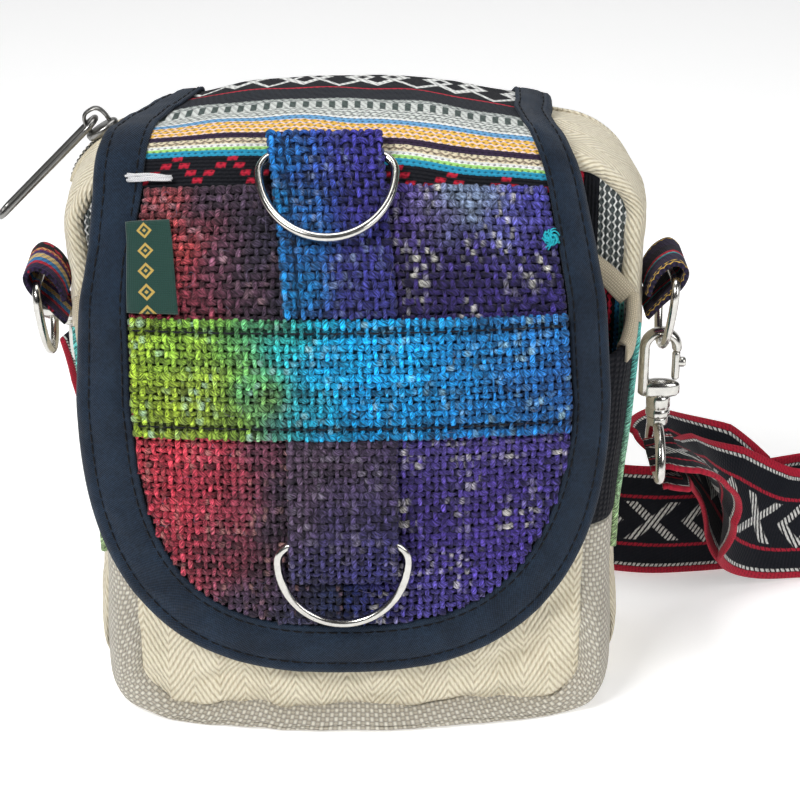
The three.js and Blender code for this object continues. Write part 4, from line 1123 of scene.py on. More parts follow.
@dataclass
class Studio:
    """Pale floor, soft lights and the camera."""

    eye: Point = (0.0, -575.3, 353.0)
    aim: Point = (42.0, 2033.0, -939.3)
    lens: float = 100.76
    # Where the lights aim, in metres
    middle: Point = (0, 0, 0.08)
    # Columns: name, place in metres, side in metres, power in watts
    lights: tuple[tuple[str, Point, float, float], ...] = (
        ("key", (-0.55, -0.75, 0.95), 0.4, 11.0), ("fill", (0.8, -0.6, 0.6), 0.6, 4.0),
        ("top", (0.0, 0.15, 1.1), 0.7, 5.0))
    floor_x: tuple[float, float, int] = (-4000, 4000, 9)
    floor_y: tuple[float, float, int] = (-2500, 4000, 60)
    rise_from: float = 2500
    rise_radius: float = 700

    def camera(self) -> None:
        """Makes the camera at the photo's viewing angle, level, looking along aim."""
        data = bpy.data.cameras.new("camera")
        data.lens = self.lens
        data.sensor_width = 36.0
        data.clip_start = 0.01
        data.clip_end = 50.0
        camera = show("camera", data)
        camera.location = Vector(self.eye) * MM
        camera.rotation_euler = Vector(self.aim).to_track_quat("-Z", "Y").to_euler()
        bpy.context.scene.camera = camera

    def light(self, name: str, place: Point, size: float, power: float) -> None:
        """Adds a square area light aimed at the bag's middle, which the camera doesn't see.

        Args:
            name: The light's name.
            place: Where it stands, in metres.
            size: Its side in metres.
            power: Its power in watts.
        """
        data = bpy.data.lights.new(name, "AREA")
        data.size = size
        data.energy = power
        lamp = show(name, data)
        lamp.visible_camera = False
        lamp.location = place
        lamp.rotation_euler = (Vector(self.middle) - lamp.location).to_track_quat("-Z", "Y").to_euler()

    def floor(self) -> None:
        """Lays a wide pale floor that curves up far behind, by the square of the depth past a line."""
        x, y = np.meshgrid(np.linspace(*self.floor_x), np.linspace(*self.floor_y))
        z = np.maximum(y - self.rise_from, 0) ** 2 / self.rise_radius
        rows, columns = x.shape
        q = quads(rows, columns, False)
        mesh = bpy.data.meshes.new("floor")
        points = np.stack([x, y, z], -1).reshape(-1, 3) * MM
        mesh.from_pydata(points.tolist(), [], (q[0] * columns + q[1]).tolist())
        material, _, shader = new_material("pale_floor", Roughness=0.9, Emission_Strength=0.42)
        shader.inputs["Base Color"].default_value = linear((246, 246, 246))
        shader.inputs["Emission Color"].default_value = (1, 1, 1, 1)
        mesh.materials.append(material)
        show("floor", mesh)

    def build(self) -> None:
        """Sets the camera, the floor, a dark grey surround that is dimmest at the horizon, and the lights."""
        self.camera()
        self.floor()
        world = bpy.data.worlds.new("surround")
        world.use_nodes = True
        g, back = Graph(world.node_tree), world.node_tree.nodes["Background"]
        apart = g.node("SeparateXYZ")
        g.link(g.node("TexCoord").outputs["Object"], apart.inputs[0])
        height = Num(world.node_tree, apart.outputs[2]).op("MAXIMUM", 0.0)
        g.link((height * 2.2).op("MINIMUM", 1.0).op("MULTIPLY_ADD", 0.75, 0.4), back.inputs["Strength"])
        bpy.context.scene.world = world
        bpy.context.scene.view_settings.view_transform = "Standard"
        for row in self.lights:
            self.light(*row)


# Strap

@dataclass
class Strap:
    """Woven shoulder strap from the right hook's eye to the left hook's eye, and its sewn-back end."""

    half_width: float = 19.0
    thick: float = 1.6
    steps: int = 12
    tail_rows: float = 5.8
    tail_behind: float = 6.2
    climb_from: float = 2.0
    climb: float = 14.0
    # Columns: x, y, z, lean in degrees, half width
    route: Rows = (
        (83.4, 4, 67.1, 0, 10.2), (88.4, 4, 67.9, 0, 10.2), (94, 4.4, 66.8, 6, 10.4),
        (101, 11, 60.5, 30, 12.5), (106.5, 24, 49, 58, 16.5), (115, 37, 34, 78, 18.6),
        (129, 46, 22.4, 87, 19), (150, 50, 19.4, 90, 19), (190, 42, 19.4, 90, 19),
        (235, 32, 19.4, 90, 19), (274, 44, 19.4, 90, 19), (292, 80, 19.4, 90, 19),
        (276, 118, 19.4, 90, 19), (236, 120, 19.4, 90, 19), (192, 95, 19.4, 90, 19),
        (154, 68, 19.4, 90, 19), (122, 57, 19.4, 90, 19), (92, 54, 19.4, 90, 19),
        (62, 64, 19.4, 90, 19), (32, 88, 19.4, 90, 19), (0, 108, 19.4, 90, 19),
        (-34, 113, 20.3, 90, 19), (-60, 97, 27, 90, 19), (-72, 79, 49, 84, 18),
        (-78.5, 63, 76, 72, 14), (-81.7, 51.4, 91, 63, 10.2),
    )

    def frames(self) -> tuple[Array, Array, Array, Array]:
        """Works out the strap's middle line, width direction, face normal and half width.

        The width is the level direction turned up by the lean and squared to the line.

        Returns:
            Places, width directions, face normals and half widths.
        """
        rows = np.array(self.route, float)
        place = centripetal(rows[:, :3], self.steps)
        at = np.linspace(0, len(rows) - 1, len(place))
        lean, half = read(np.c_[np.arange(len(rows)), rows[:, 3:]], at)
        lean = np.radians(lean)
        way = unit(np.gradient(place, axis=0))
        level = unit(np.stack([-way[:, 1], way[:, 0], np.zeros(len(way))], 1))
        wide = level * np.cos(lean)[:, None] + np.outer(np.sin(lean), [0, 0, 1])
        wide = unit(wide - way * np.sum(wide * way, 1, keepdims=True))
        return place, wide, np.cross(way, wide), half

    def ribbon(self, place: Array, wide: Array, face: Array, half: Array) -> Surface:
        """Webbing of eleven columns across: thick in the middle, thinner at its edges, faintly rippled.

        Args:
            place: Points on its middle line.
            wide: Directions of its width.
            face: Directions off its face.
            half: Half widths.

        Returns:
            The closed webbing.
        """
        share = np.array([-1, -0.97, -0.9, -0.6, -0.3, 0, 0.3, 0.6, 0.9, 0.97, 1.0])
        body = self.thick / 2 * np.array([0.35, 0.8, 1, 0.96, 1, 0.97, 1, 0.96, 1, 0.8, 0.35])
        run = run_along(place)
        across = share * self.half_width
        ripple = 0.25 * waves(run[:, None], across, 24, 5)
        middle = (place[:, None] + wide[:, None] * (half[:, None] * share)[..., None]
                  + face[:, None] * ripple[..., None])
        off = face[:, None] * body[None, :, None]
        return shell(middle + off, middle - off, stacked(across, run[:, None]))

    def build(self) -> None:
        finish = StrapWeave().make()
        place, wide, face, half = self.frames()
        tail_count = round(self.tail_rows * self.steps)
        rows = np.arange(tail_count) / self.steps
        past = np.maximum(0, rows - self.climb_from) / (self.tail_rows - self.climb_from)
        climb = self.climb * np.sin(np.pi * past**0.8)
        near = slice(self.steps // 2, tail_count)
        tail = place[near] - face[near] * self.tail_behind + wide[near] * climb[near, None]
        end = put("strap_end", self.ribbon(tail, wide[near], face[near], half[near]), finish,
                  "strap_tail")
        strap = put("woven_strap", self.ribbon(place, wide, face, half), finish, "strap")
        (place[0] * MM).tolist()
        (place * MM).tolist()


# Flap

@dataclass(frozen=True)
class FlapMap:
    """Carries flat flap points over the bag: x across, s along from the back seam, h over the cloth."""

    start: Point = (36.2, 146.1, 80.0)
    # Columns: straight run, radius, turn in degrees
    runs: Rows = (
        (13, 0, 0), (0, 11, 100), (28.6, 0, 0), (0, 18, 55), (30, 0, 0), (0, 25, 35), (1000, 0, 0))
    centre: float = -4.5
    round_from: float = 146.5
    round_height: float = 81.0
    power: float = 2.6
    # Columns: s, half width
    widths: Rows = ((0, 55), (46, 55), (82, 63), (116, 68), (146.5, 70.5))
    # Columns: s, fall at 65 mm off the middle, puff in the middle
    droop: Rows = (
        (0, 0.4, 0), (14, 3.6, 0.5), (26, 8.0, 1.2), (46, 8.2, 1.2), (64, 6.6, 0.6), (76, 5.3, 0),
        (104, 5.0, 0))
    # Columns: s, share by which the left half spreads, the right half
    spread: Rows = (
        (0, -0.06, 0.04), (20, -0.1, 0.06), (30, -0.1, 0.08), (40, -0.02, 0.07), (48, 0.05, 0.045),
        (60, 0.07, 0.015), (72, 0.05, 0.01), (85, 0.02, 0.02), (100, 0, 0.025), (228, 0, 0.02))
    # Columns: s, binding shown on the left, on the right
    binding: Rows = (
        (0, 13, 9.5), (85, 13, 9.5), (104, 11.5, 9.8), (130, 13.6, 10), (155, 15, 10),
        (195, 15.3, 13), (228, 15.5, 15.5))

    def profile(self, s: Array) -> list[Array]:
        """Side profile at length s: its y, z and heading after the straight runs and arcs before it."""
        runs = [(radius * np.radians(turn) if radius else run, radius) for run, radius, turn in self.runs]
        start = (*self.start[:2], np.radians(self.start[2]))
        return walk(np.maximum(np.asarray(s, float), 0), start, runs)

    def by_side(self, table: Sequence[Sequence[float]], x: Array, s: Array) -> Array:
        """Reads a table's left column where x is negative and its right column elsewhere."""
        left, right = read(table, s)
        return np.where(np.asarray(x) < 0, left, right)

    def fall(self, x: Array, s: Array) -> Array:
        """How far the cloth hangs back: the table's fall times (x / 65)^2, less its puff fading to 50 mm."""
        hang, puff = read(self.droop, s)
        return hang * (x / 65) ** 2 - puff * np.maximum(0, 1 - (x / 50) ** 2)

    def point(self, x: Array, s: Array, h: "Array | float") -> Array:
        """Places flat points in space: along the profile, off it by the height less the fall, and spread.

        Args:
            x: Places across.
            s: Lengths from the back seam.
            h: Heights over the cloth.

        Returns:
            Points with a last axis of three.
        """
        x, s, h = np.broadcast_arrays(*(np.asarray(v, float) for v in (x, s, h)))
        y, z, heading = self.profile(s)
        over = h - self.fall(x, s)
        x = x * (1 + self.by_side(self.spread, x, s))
        return np.stack([self.centre + x, y + np.sin(heading) * over, z - np.cos(heading) * over], -1)

    def side(self, s: Array) -> Array:
        """Half width of the cut flap at s."""
        return read(self.widths, s)[0]

    def shown(self, x: Array, s: Array) -> Array:
        """Width of binding that shows on the face, by side."""
        return self.by_side(self.binding, x, s)

    def outline(self, side_steps: int, round_steps: int) -> tuple[Array, Array]:
        """Cut edge from the left end of the back seam round to the right end, and its inward directions.

        The sides follow the width table; the round end is a superellipse.

        Args:
            side_steps: Points on each side.
            round_steps: Points on each half of the round end.

        Returns:
            Points (x, s) and inward unit vectors.
        """
        s = np.linspace(0, self.round_from, side_steps, endpoint=False)
        a = np.linspace(0, np.pi / 2, round_steps)
        half = float(self.side(self.round_from))
        x = np.r_[self.side(s), half * np.cos(a) ** (2 / self.power)]
        s = np.r_[s, self.round_from + self.round_height * np.sin(a) ** (2 / self.power)]
        x[-1] = 0.0
        points = np.vstack([np.c_[-x, s], np.c_[x, s][-2::-1]])
        way = np.gradient(points, axis=0)
        inward = unit(np.c_[way[:, 1], -way[:, 0]])
        flat = points[:, 1] <= self.round_from
        inward[flat] = np.c_[-np.sign(points[flat, 0]), np.zeros(flat.sum())]
        return points, inward

    def inner(self, clear: float) -> tuple[Array, Array]:
        """The binding's inner edge, moved in by clear, as x and s from left to right on the round end."""
        points, inward = self.outline(40, 200)
        points = points + inward * (self.shown(points[:, 0], points[:, 1]) + clear)[:, None]
        low = points[:, 1] >= self.round_from
        return points[low, 0], points[low, 1]


# Warp yarns are numbered from 0 and weft yarns from here
FIRST_WEFT = 200


@dataclass(frozen=True)
class Dye:
    """Tie-dye: soft spots of colour on the flat cloth, per-yarn shade, pale flecks, and painted light that
    makes warp yarns brighter than weft yarns.
    """

    # Columns: x, s, reach, red, green, blue
    spots: Rows
    fleck: float = 0.25
    pale: Rgb = (190, 184, 205)
    seed: int = 1
    depth: float = 0.8

    def at(self, x: Array, s: Array, yarn: Array) -> Array:
        """Linear colour at flat points.

        Each spot weighs exp(-(distance / reach)^2 / 2); the colour is the weighted mean. Slow noise
        moves the spots' edges, each yarn has its own shade, and quick noise makes pale flecks. Painted
        light makes warp yarns brighter than weft yarns.

        Args:
            x: Places across.
            s: Places along.
            yarn: A number for each point's yarn.

        Returns:
            Colours with a last axis of three.
        """
        table = np.array(self.spots)
        colours = np.array([linear(tuple(c))[:3] for c in table[:, 3:]])
        wx = x + 3.5 * waves(x, s, 14, self.seed)
        ws = s + 3.5 * waves(x, s, 14, self.seed + 1)
        spot_x, spot_s, reach = table[:, :3].T
        far = ((wx[..., None] - spot_x) ** 2 + (ws[..., None] - spot_s) ** 2) / reach**2
        weight = np.exp(-far / 2) + 1e-9
        tone = (weight[..., None] * colours).sum(-2) / weight.sum(-1)[..., None]
        shade = (1 + 0.4 * waves(yarn * 3.1, yarn * 1.7, 2.1, self.seed + 2)
                 + 0.5 * waves(x, s, 2.6, self.seed + 3))
        weft = yarn >= FIRST_WEFT
        # Each yarn's own random tone, times painted light: warp yarns 1.3 times as bright and weft yarns 0.88
        # times
        tone = tone * (np.clip(shade, 0.3, 2.2) * np.where(weft, 0.88, 1.3))[..., None]
        zone = ease(-0.3, 0.7, waves(x, s, 15, self.seed + 6))
        run = np.where(weft, x, s) + 37 * yarn
        dots = ease(0.15, 0.9, waves(run, yarn * 11, 2.6, self.seed + 4))
        dots = (dots * self.fleck * zone * np.where(weft, 1, 0.6))[..., None]
        return self.depth * (tone * (1 - dots) + np.array(linear(self.pale)[:3]) * dots)


@dataclass(frozen=True)
class Cut:
    """Flat shape of a woven piece: its left and right side at s, its straight top and its last s at x."""

    left: Span
    right: Span
    top: float
    bottom: Span

    def ends(self) -> Pair:
        """Both ends of the top."""
        return float(self.left(np.array(self.top))), float(self.right(np.array(self.top)))

    def across(self, s: Array, share: Array) -> Array:
        """The x at a share of the way from the left side to the right."""
        low = self.left(s)
        return low + (self.right(s) - low) * share


@dataclass(frozen=True)
class CoarseWeave:
    """Plain weave of thick hemp yarns, made yarn by yarn."""

    warp: float = 2.1
    weft: float = 2.15
    swing: float = 0.5
    warp_size: Pair = (0.62, 0.56)
    weft_size: Pair = (0.94, 0.52)
    sides: int = 6

    def cloth(self, place: Place, cut: Cut, dye: Dye, grooves: Pairs = (), folds: Pairs = (),
              backing: Pair = (-0.9, -0.55)) -> Surface:
        """Weaves a piece of cloth in a cut shape.

        A warp yarn's height is swing * cos(pi * ((s - top) / weft - 1/2 + its number)), and a weft
        yarn's is the opposite over the warp's spacing. Both wander and swell by seeded noise. A thin
        sheet of painted shade backs them, so the gaps between the yarns read dark.

        Args:
            place: Carries (x, s, height) to space.
            cut: The piece's flat shape.
            dye: Its dye, whose seed also gives the yarns' unevenness.
            grooves: Seams across the piece: their s and how deep they pull the yarns in.
            folds: Seams along the piece: their x and how deep they pull the yarns in.
            backing: Heights of the backing sheet.

        Returns:
            The yarns and the backing as one surface, coloured by the dye with painted shade and painted
            highlight.
        """
        seed, top = dye.seed, cut.top
        first, last = cut.ends()
        columns = max(2, round((last - first) / self.warp))
        share = (np.arange(columns) + 0.5) / columns
        ends = np.maximum(cut.bottom(first + (last - first) * share), top + self.weft)
        deep = float(np.max(ends) - top)
        steps = max(6, int(deep / self.weft * 4))
        s = top + np.linspace(0, 1, steps)[None] * (ends - top)[:, None]
        number = np.arange(columns)[:, None] * np.ones_like(s)
        x = cut.across(s, share[:, None]) + 0.22 * waves(s + 31 * number, number * 9, 7, seed)
        rise = self.swing * np.cos(np.pi * ((s - top) / self.weft - 0.5) + np.pi * number)
        rise = rise - self.pull(s, grooves) - self.pull(x, folds)
        parts = [self.yarns(place, np.stack([x, s, rise]), self.warp_size, dye, number, seed + 1)]
        rows = max(2, round(deep / self.weft))
        level = top + (np.arange(rows) + 0.5) * deep / rows
        lo, hi = cut.left(level), cut.right(level)
        fine = np.linspace(first, last, 400)
        inside = cut.bottom(fine)[None] >= level[:, None]
        near = np.where(inside, fine, np.inf).min(1)
        far = np.where(inside, fine, -np.inf).max(1)
        start, stop = (np.where(inside.all(1), a, b) for a, b in ((lo, near), (hi, far)))
        keep = stop - start > 2 * self.warp
        level, lo, hi, start, stop = (a[keep] for a in (level, lo, hi, start, stop))
        steps = max(6, int((hi - lo).max() / self.warp * 4))
        x = start[:, None] + (stop - start)[:, None] * np.linspace(0, 1, steps)[None]
        number = np.arange(len(level))[:, None] * np.ones_like(x)
        s = level[:, None] + 0.24 * waves(x + 17 * number, number * 7, 7, seed + 2)
        count = (x - lo[:, None]) / (hi - lo)[:, None] * columns
        rise = -self.swing * np.cos(np.pi * (count - 0.5) + np.pi * number)
        rise = rise - self.pull(s, grooves) - self.pull(x, folds)
        number = number + FIRST_WEFT
        parts.append(self.yarns(place, np.stack([x, s, rise]), self.weft_size, dye, number, seed + 3))
        parts.append(self.sheet(place, cut, dye, backing))
        return merge(parts)

    def pull(self, s: Array, grooves: Pairs) -> Array:
        """Depth that the sewn seams pull the yarns in: a bell of 0.8 mm at each seam."""
        return sum((deep * np.exp(-(((s - at) / 0.8) ** 2)) for at, deep in grooves), np.zeros_like(s))

    def yarns(self, place: Place, flat: Array, size: Pair, dye: Dye, number: Array, seed: int) -> Surface:
        """Makes one set of yarns as uneven elliptical tubes with dye on their points.

        Args:
            place: Carries (x, s, height) to space.
            flat: The yarns' x, s and height.
            size: Half width and half thickness.
            dye: The cloth's dye.
            number: Each point's yarn.
            seed: Seed of their swelling.

        Returns:
            The tubes, with painted shade where a yarn dips and a painted highlight where it rises.
        """
        x, s, rise = flat
        path = place(x, s, rise)
        normal = unit(place(x, s, rise + 0.2) - path)
        swell = (1 + 0.2 * waves(x * 1.3 + 13 * number, s * 1.3, 6, seed)
                 + 0.22 * waves(number * 2.3, number * 1.1, 3.1, seed + 9))
        made = tubes(path, normal, size[0] * swell, size[1] * swell, self.sides)
        # Painted shade where a yarn dips under a crossing and painted highlight where it rises over one, as a
        # factor on the dye
        low = np.clip(1.0 + 0.5 * rise / self.swing, 0.16, 1.4)[..., None]
        return made.dyed(np.repeat((dye.at(x, s, number) * low).reshape(-1, 3), self.sides, 0))

    def sheet(self, place: Place, cut: Cut, dye: Dye, backing: Pair) -> Surface:
        """Backs the yarns with a thin sheet of painted shade, the same dye darkened, that shows in the gaps
        between the yarns.

        Args:
            place: Carries (x, s, height) to space.
            cut: The piece's flat shape.
            dye: Its dye.
            backing: Heights of the sheet's lower and upper face.

        Returns:
            The sheet.
        """
        share, t = np.meshgrid(np.linspace(0.01, 0.99, 40), np.linspace(0.01, 0.985, 30))
        first, last = cut.ends()
        end = np.maximum(cut.bottom(first + (last - first) * share), cut.top + self.weft)
        s = cut.top + t * (end - cut.top)
        x = cut.across(s, share)
        under, over = (place(x, s, np.full_like(x, h)) for h in backing)
        # Painted shade: the dye at 0.18 of its strength, for the dark gaps between the yarns
        tone = dye.at(x, s, np.zeros_like(x)).reshape(-1, 3) * 0.18
        return shell(over, under, np.stack([x, s], -1)).dyed(np.vstack([tone, tone]))


# Soft spots of dye on each piece of the flap, placed and coloured one by one
UPPER_LEFT = Dye((
    (-52, 86, 7, 84, 54, 72), (-30, 86, 10, 74, 54, 70), (-6, 88, 9, 66, 56, 78),
    (-50, 96, 6, 214, 92, 76), (-42, 101, 6, 200, 72, 74), (-40, 112, 7, 150, 56, 72),
    (-28, 96, 8, 66, 56, 74), (-14, 102, 9, 50, 52, 74), (-28, 112, 8, 84, 56, 72),
    (-12, 116, 9, 52, 52, 70), (-44, 130, 9, 170, 58, 72), (-15, 130, 12, 62, 54, 70),
), fleck=0.45, pale=(200, 160, 170), seed=11, depth=0.72)
UPPER_RIGHT = Dye((
    (12, 88, 8, 74, 56, 146), (22, 93, 5, 112, 104, 140), (34, 92, 5, 140, 164, 182),
    (54, 90, 9, 72, 70, 170), (44, 97, 6, 96, 96, 170), (22, 102, 7, 62, 48, 118),
    (40, 104, 7, 66, 52, 130), (54, 104, 8, 60, 48, 132), (20, 112, 9, 48, 36, 94),
    (38, 114, 9, 52, 38, 104), (54, 116, 9, 48, 38, 104), (40, 130, 16, 54, 44, 116),
), fleck=1.0, pale=(216, 214, 204), seed=23, depth=0.68)
LOWER_LEFT = Dye((
    (-48, 158, 8, 196, 60, 74), (-34, 160, 8, 186, 60, 78), (-22, 160, 7, 96, 58, 74),
    (-14, 166, 8, 62, 58, 78), (-48, 172, 8, 176, 52, 68), (-34, 176, 8, 150, 52, 68),
    (-20, 184, 8, 66, 58, 74), (-40, 186, 8, 156, 50, 66), (-28, 196, 8, 104, 54, 66),
    (-14, 200, 9, 52, 52, 74), (-20, 208, 8, 60, 56, 80), (-3, 206, 8, 22, 40, 84),
), fleck=0.45, pale=(226, 170, 160), seed=31)
LOWER_RIGHT = Dye((
    (12, 158, 8, 70, 56, 118), (28, 158, 9, 84, 72, 148), (50, 160, 9, 70, 58, 136),
    (20, 172, 9, 64, 48, 124), (40, 174, 9, 76, 56, 144), (54, 176, 8, 58, 48, 120),
    (18, 188, 8, 58, 44, 118), (36, 190, 9, 72, 54, 144), (22, 204, 9, 84, 74, 158),
    (38, 202, 8, 74, 62, 148), (5, 206, 8, 22, 40, 96),
), fleck=0.95, pale=(216, 212, 206), seed=43, depth=0.68)
CROSS_BAND = Dye((
    (-54, 128, 9, 146, 172, 50), (-54, 146, 9, 134, 160, 46), (-40, 124, 8, 116, 170, 62),
    (-38, 140, 9, 154, 172, 56), (-28, 128, 7, 84, 142, 66), (-26, 146, 8, 92, 130, 50),
    (-20, 134, 6, 52, 140, 92), (-13, 128, 6, 22, 162, 164), (-11, 146, 6, 16, 140, 158),
    (-4, 134, 7, 10, 154, 210), (8, 128, 8, 14, 158, 216), (12, 146, 9, 10, 134, 194),
    (24, 132, 9, 18, 138, 200), (36, 144, 9, 20, 106, 172), (44, 128, 9, 26, 112, 176),
    (56, 136, 9, 30, 78, 140),
), fleck=0.45, pale=(176, 214, 214), seed=53, depth=0.92)
# Strips are dyed by their own length, from the end sewn under the band
STRIP_HIGH = Dye((
    (-13, 8, 5, 16, 128, 190), (-13, 26, 5, 14, 140, 200), (-13, 46, 5, 22, 122, 196),
    (-7, 16, 5, 26, 104, 170), (-2, 30, 7, 42, 72, 150), (2, 10, 7, 54, 56, 132),
    (4, 46, 7, 54, 66, 158), (10, 26, 7, 58, 46, 130), (11, 46, 7, 70, 54, 158),
), fleck=0.5, pale=(160, 180, 220), seed=61, depth=0.72)
STRIP_LOW = Dye((
    (-10, 6, 7, 76, 58, 76), (2, 8, 8, 82, 66, 86), (11, 8, 7, 70, 58, 98),
    (-8, 22, 8, 80, 64, 86), (6, 22, 8, 64, 58, 104), (-8, 38, 8, 62, 56, 98),
    (8, 38, 8, 64, 60, 136), (0, 56, 12, 40, 46, 86),
), fleck=0.4, pale=(180, 172, 190), seed=71, depth=0.72)


@dataclass
class Flap:
    """The flap: striped cloth, navy binding, dyed patches, band, ring strips, tab and loose threads."""

    map: FlapMap = field(default_factory=FlapMap)
    weave: CoarseWeave = field(default_factory=CoarseWeave)
    cloth: float = 1.4
    patch_top: float = 85.4
    patch_split: float = 136.0
    patch_level: float = 1.9
    band_top: float = 120.0
    band_bottom: float = 153.9
    band_level: float = 3.85
    strip_half: float = 14.5
    band_hem: float = 3.2
    striped_from: float = 22.0
    # Columns of both: pitch, share that shows, radius, sink
    tape_sewing: tuple[float, ...] = (3.3, 0.78, 0.24, 0.35)
    band_sewing: tuple[float, ...] = (3.4, 0.75, 0.22, 0.5)
    tack_at: Pair = (-53.6, 82.3)
    tuft_at: Pair = (53.8, 99.8)
    # Columns: s, h over the cloth, from the end under the band round the ring's bar
    strip_high: Rows = (
        (119.7, 3.7), (104.0, 3.7), (94.0, 4.4), (86.0, 6.2), (80.0, 7.4), (76.0, 7.2), (73.6, 5.6),
        (73.6, 3.4), (76.0, 2.1), (82.0, 1.9))
    strip_low: Rows = (
        (154.2, 3.7), (166.5, 3.9), (174.5, 6.4), (180.5, 8.6), (186.5, 8.7), (191.5, 7.4), (194.6, 6.4),
        (195.9, 5.0), (194.5, 3.9), (190.5, 3.7), (178.5, 3.7))

    def base(self) -> None:
        """Striped cloth: columns spread by a sine towards the sides, ends on the binding's fold."""
        inset = 1.5
        points, inward = self.map.outline(40, 200)
        low = points[:, 1] >= self.map.round_from
        edge = (points + inward * inset)[low]
        share, t = np.meshgrid(np.sin(np.linspace(-np.pi / 2, np.pi / 2, 90)), np.linspace(0, 1, 150))
        reach = float(self.map.side(self.map.round_from)) - inset
        s = t * np.interp(share * reach, edge[:, 0], edge[:, 1])
        x = share * (self.map.side(s) - inset)
        wavy = 0.3 * waves(x, s, 26, 81) * ease(100, 70, s)
        shift = 0.05 * x + 1.8 * ease(-5, 48, x) + 0.7 * waves(x, s * 0.3, 30, 82)
        uv = np.stack([x, s - shift], -1)
        top, under = (self.map.point(x, s, wavy + k * self.cloth / 2) for k in (1, -1))
        finish = StripedCloth("striped_top", TOP_STRIPES, self.striped_from).make()
        cloth = put("flap_cloth", shell(top, under, uv), finish, "flap_base")

    def binding(self) -> None:
        """Folded tape: a flattened profile with a dip at each row of stitches, carried round the cut edge."""
        points, inward = self.map.outline(70, 70)
        shown = self.map.shown(points[:, 0], points[:, 1])[:, None]
        fine = np.interp(np.linspace(0, 1, 420), np.linspace(0, 1, len(points)), np.arange(len(points)))
        whole = np.clip(fine.astype(int), 0, len(points) - 2)
        part = (fine - whole)[:, None]
        points, inward, shown = (a[whole] * (1 - part) + a[whole + 1] * part for a in (points, inward, shown))
        inward = unit(inward)
        run = run_along(points)[:, None]
        front = np.array([1, 1, 0.97, 0.93, 0.865, 0.8, 0.7, 0.5, 0.36, 0.28, 0.233, 0.19, 0.1, 0.02])
        front_h = np.array([1.05, 1.6, 1.95, 2.05, 1.72, 2.1, 2.3, 2.4, 2.25, 1.98, 1.7, 1.98, 2.0, 1.3])
        back = np.array([-0.2, 0.2, 2.0, 6.0, 10.0, 13.5, 15.0, 15.0, 1.2, 1.2])
        back_h = np.array([0.0, -1.3, -1.9, -2.0, -1.95, -1.85, -1.6, -1.05, -1.05, 1.05])
        d = np.hstack([shown * front, np.broadcast_to(back, (len(points), len(back)))])
        pucker = 0.16 * waves(run, d * 0.8, 5.0, 91) + 0.12 * waves(run, d, 17.0, 92)
        soft = np.r_[0, 0.3, 0.8, 1, 0.6, 1, 1, 1, 1, 0.8, 0.5, 0.8, 1, 0.6, np.zeros(len(back))]
        h = np.r_[front_h, back_h] + pucker * soft
        x = points[:, :1] + inward[:, :1] * d
        s = points[:, 1:] + inward[:, 1:] * d
        rings = self.map.point(x, s, h)
        girth = np.r_[np.cumsum(np.abs(np.diff(np.r_[15 * front, back], prepend=15))), 60.0]
        tape = TwillTape("navy_tape", (7, 16, 28), (46, 70, 96), 0.75).make()
        put("flap_binding_tape", loft(rings, stacked(girth[None], run)), tape, "flap_binding")
        seams = []
        for share, h in ((0.865, 1.78), (0.233, 1.76)):
            x, s = (points + inward * shown * share).T
            seams.append(self.seam(x, s, h, self.tape_sewing))
        put("flap_binding_stitches", merge(seams), Thread("navy_thread", (6, 8, 14)).make())

    def seam(self, x: Array, s: "Array | float", h: float, sewing: Sequence[float]) -> Surface:
        """Stitches along flat points at a height, sewn by pitch, share, radius and sink."""
        line = self.map.point(x, s, h)
        return stitches(line, self.map.point(x, s, h + 1) - line, *sewing)

    def at_level(self, level: float) -> Place:
        """Carries flat points to space at a height over the flap."""
        return lambda x, s, h: self.map.point(x, s, level + h)

    def patch(self, name: str, sign: int, upper: bool, dye: Dye, finish: Material) -> None:
        """Weaves one quarter of the patchwork between the seams, the binding and the round end.

        Args:
            name: The solid that it replaces.
            sign: -1 on the left and 1 on the right.
            upper: Above the band.
            dye: Its dye.
            finish: The yarn's material.
        """
        clear = 0.7
        edge_x, edge_s = self.map.inner(clear)
        stay = self.map.round_from

        def outer(s: Array) -> Array:
            """Edge beside the binding, going straight on past the start of the round end."""
            return sign * (self.map.side(s) - self.map.shown(sign, np.minimum(s, stay)) - clear)

        sides = (outer, constant(sign * 0.3))[::-sign]
        if upper:
            cut = Cut(*sides, self.patch_top, constant(self.patch_split))
        else:
            cut = Cut(*sides, self.patch_split, lambda x: np.interp(x, edge_x, edge_s))
        put("woven_" + name, self.weave.cloth(self.at_level(self.patch_level), cut, dye), finish, name)

    def band(self, finish: Material) -> None:
        """Weaves the cross band with a sewn groove inside each long edge.

        Args:
            finish: Its finish.
        """

        def half(s: Array, sign: int) -> Array:
            """Half width up to the binding on one side."""
            return sign * (self.map.side(s) - self.map.shown(sign, s) - 0.5)

        cut = Cut(lambda s: half(s, -1), lambda s: half(s, 1), self.band_top, constant(self.band_bottom))
        hems = (self.band_top + self.band_hem, self.band_bottom - self.band_hem)
        cloth = self.weave.cloth(self.at_level(self.band_level), cut, CROSS_BAND, [(s, 0.8) for s in hems])
        put("woven_band", cloth, finish, "band_cross")
        x = np.linspace(-54.5, 57.5, 160)
        seams = [self.seam(x, s, self.band_level + 0.2, self.band_sewing) for s in hems]
        put("band_stitches", merge(seams), Thread("dark_thread", (24, 24, 36)).make())

    def strip(self, name: str, rows: Rows, dye: Dye, finish: Material, slot: str,
              lean: float, fold: Pair) -> None:
        """Weaves a ring strip along its side profile, leaning to one side, with a sewn fold by one edge.

        A point's place is the profile moved along its normal by the point's height.

        Args:
            name: The solid that it replaces.
            rows: The side profile.
            dye: The strip's dye.
            finish: The yarn's material.
            slot: Not used.
            lean: Sideways move over 49 mm of the flap.
            fold: Place across and depth of the sewn fold.
        """
        line = centripetal(np.c_[np.array(rows), np.zeros(len(rows))], 12)
        run = run_along(line)
        way = unit(np.gradient(line, axis=0))
        turn = np.sign(line[1, 0] - line[0, 0])

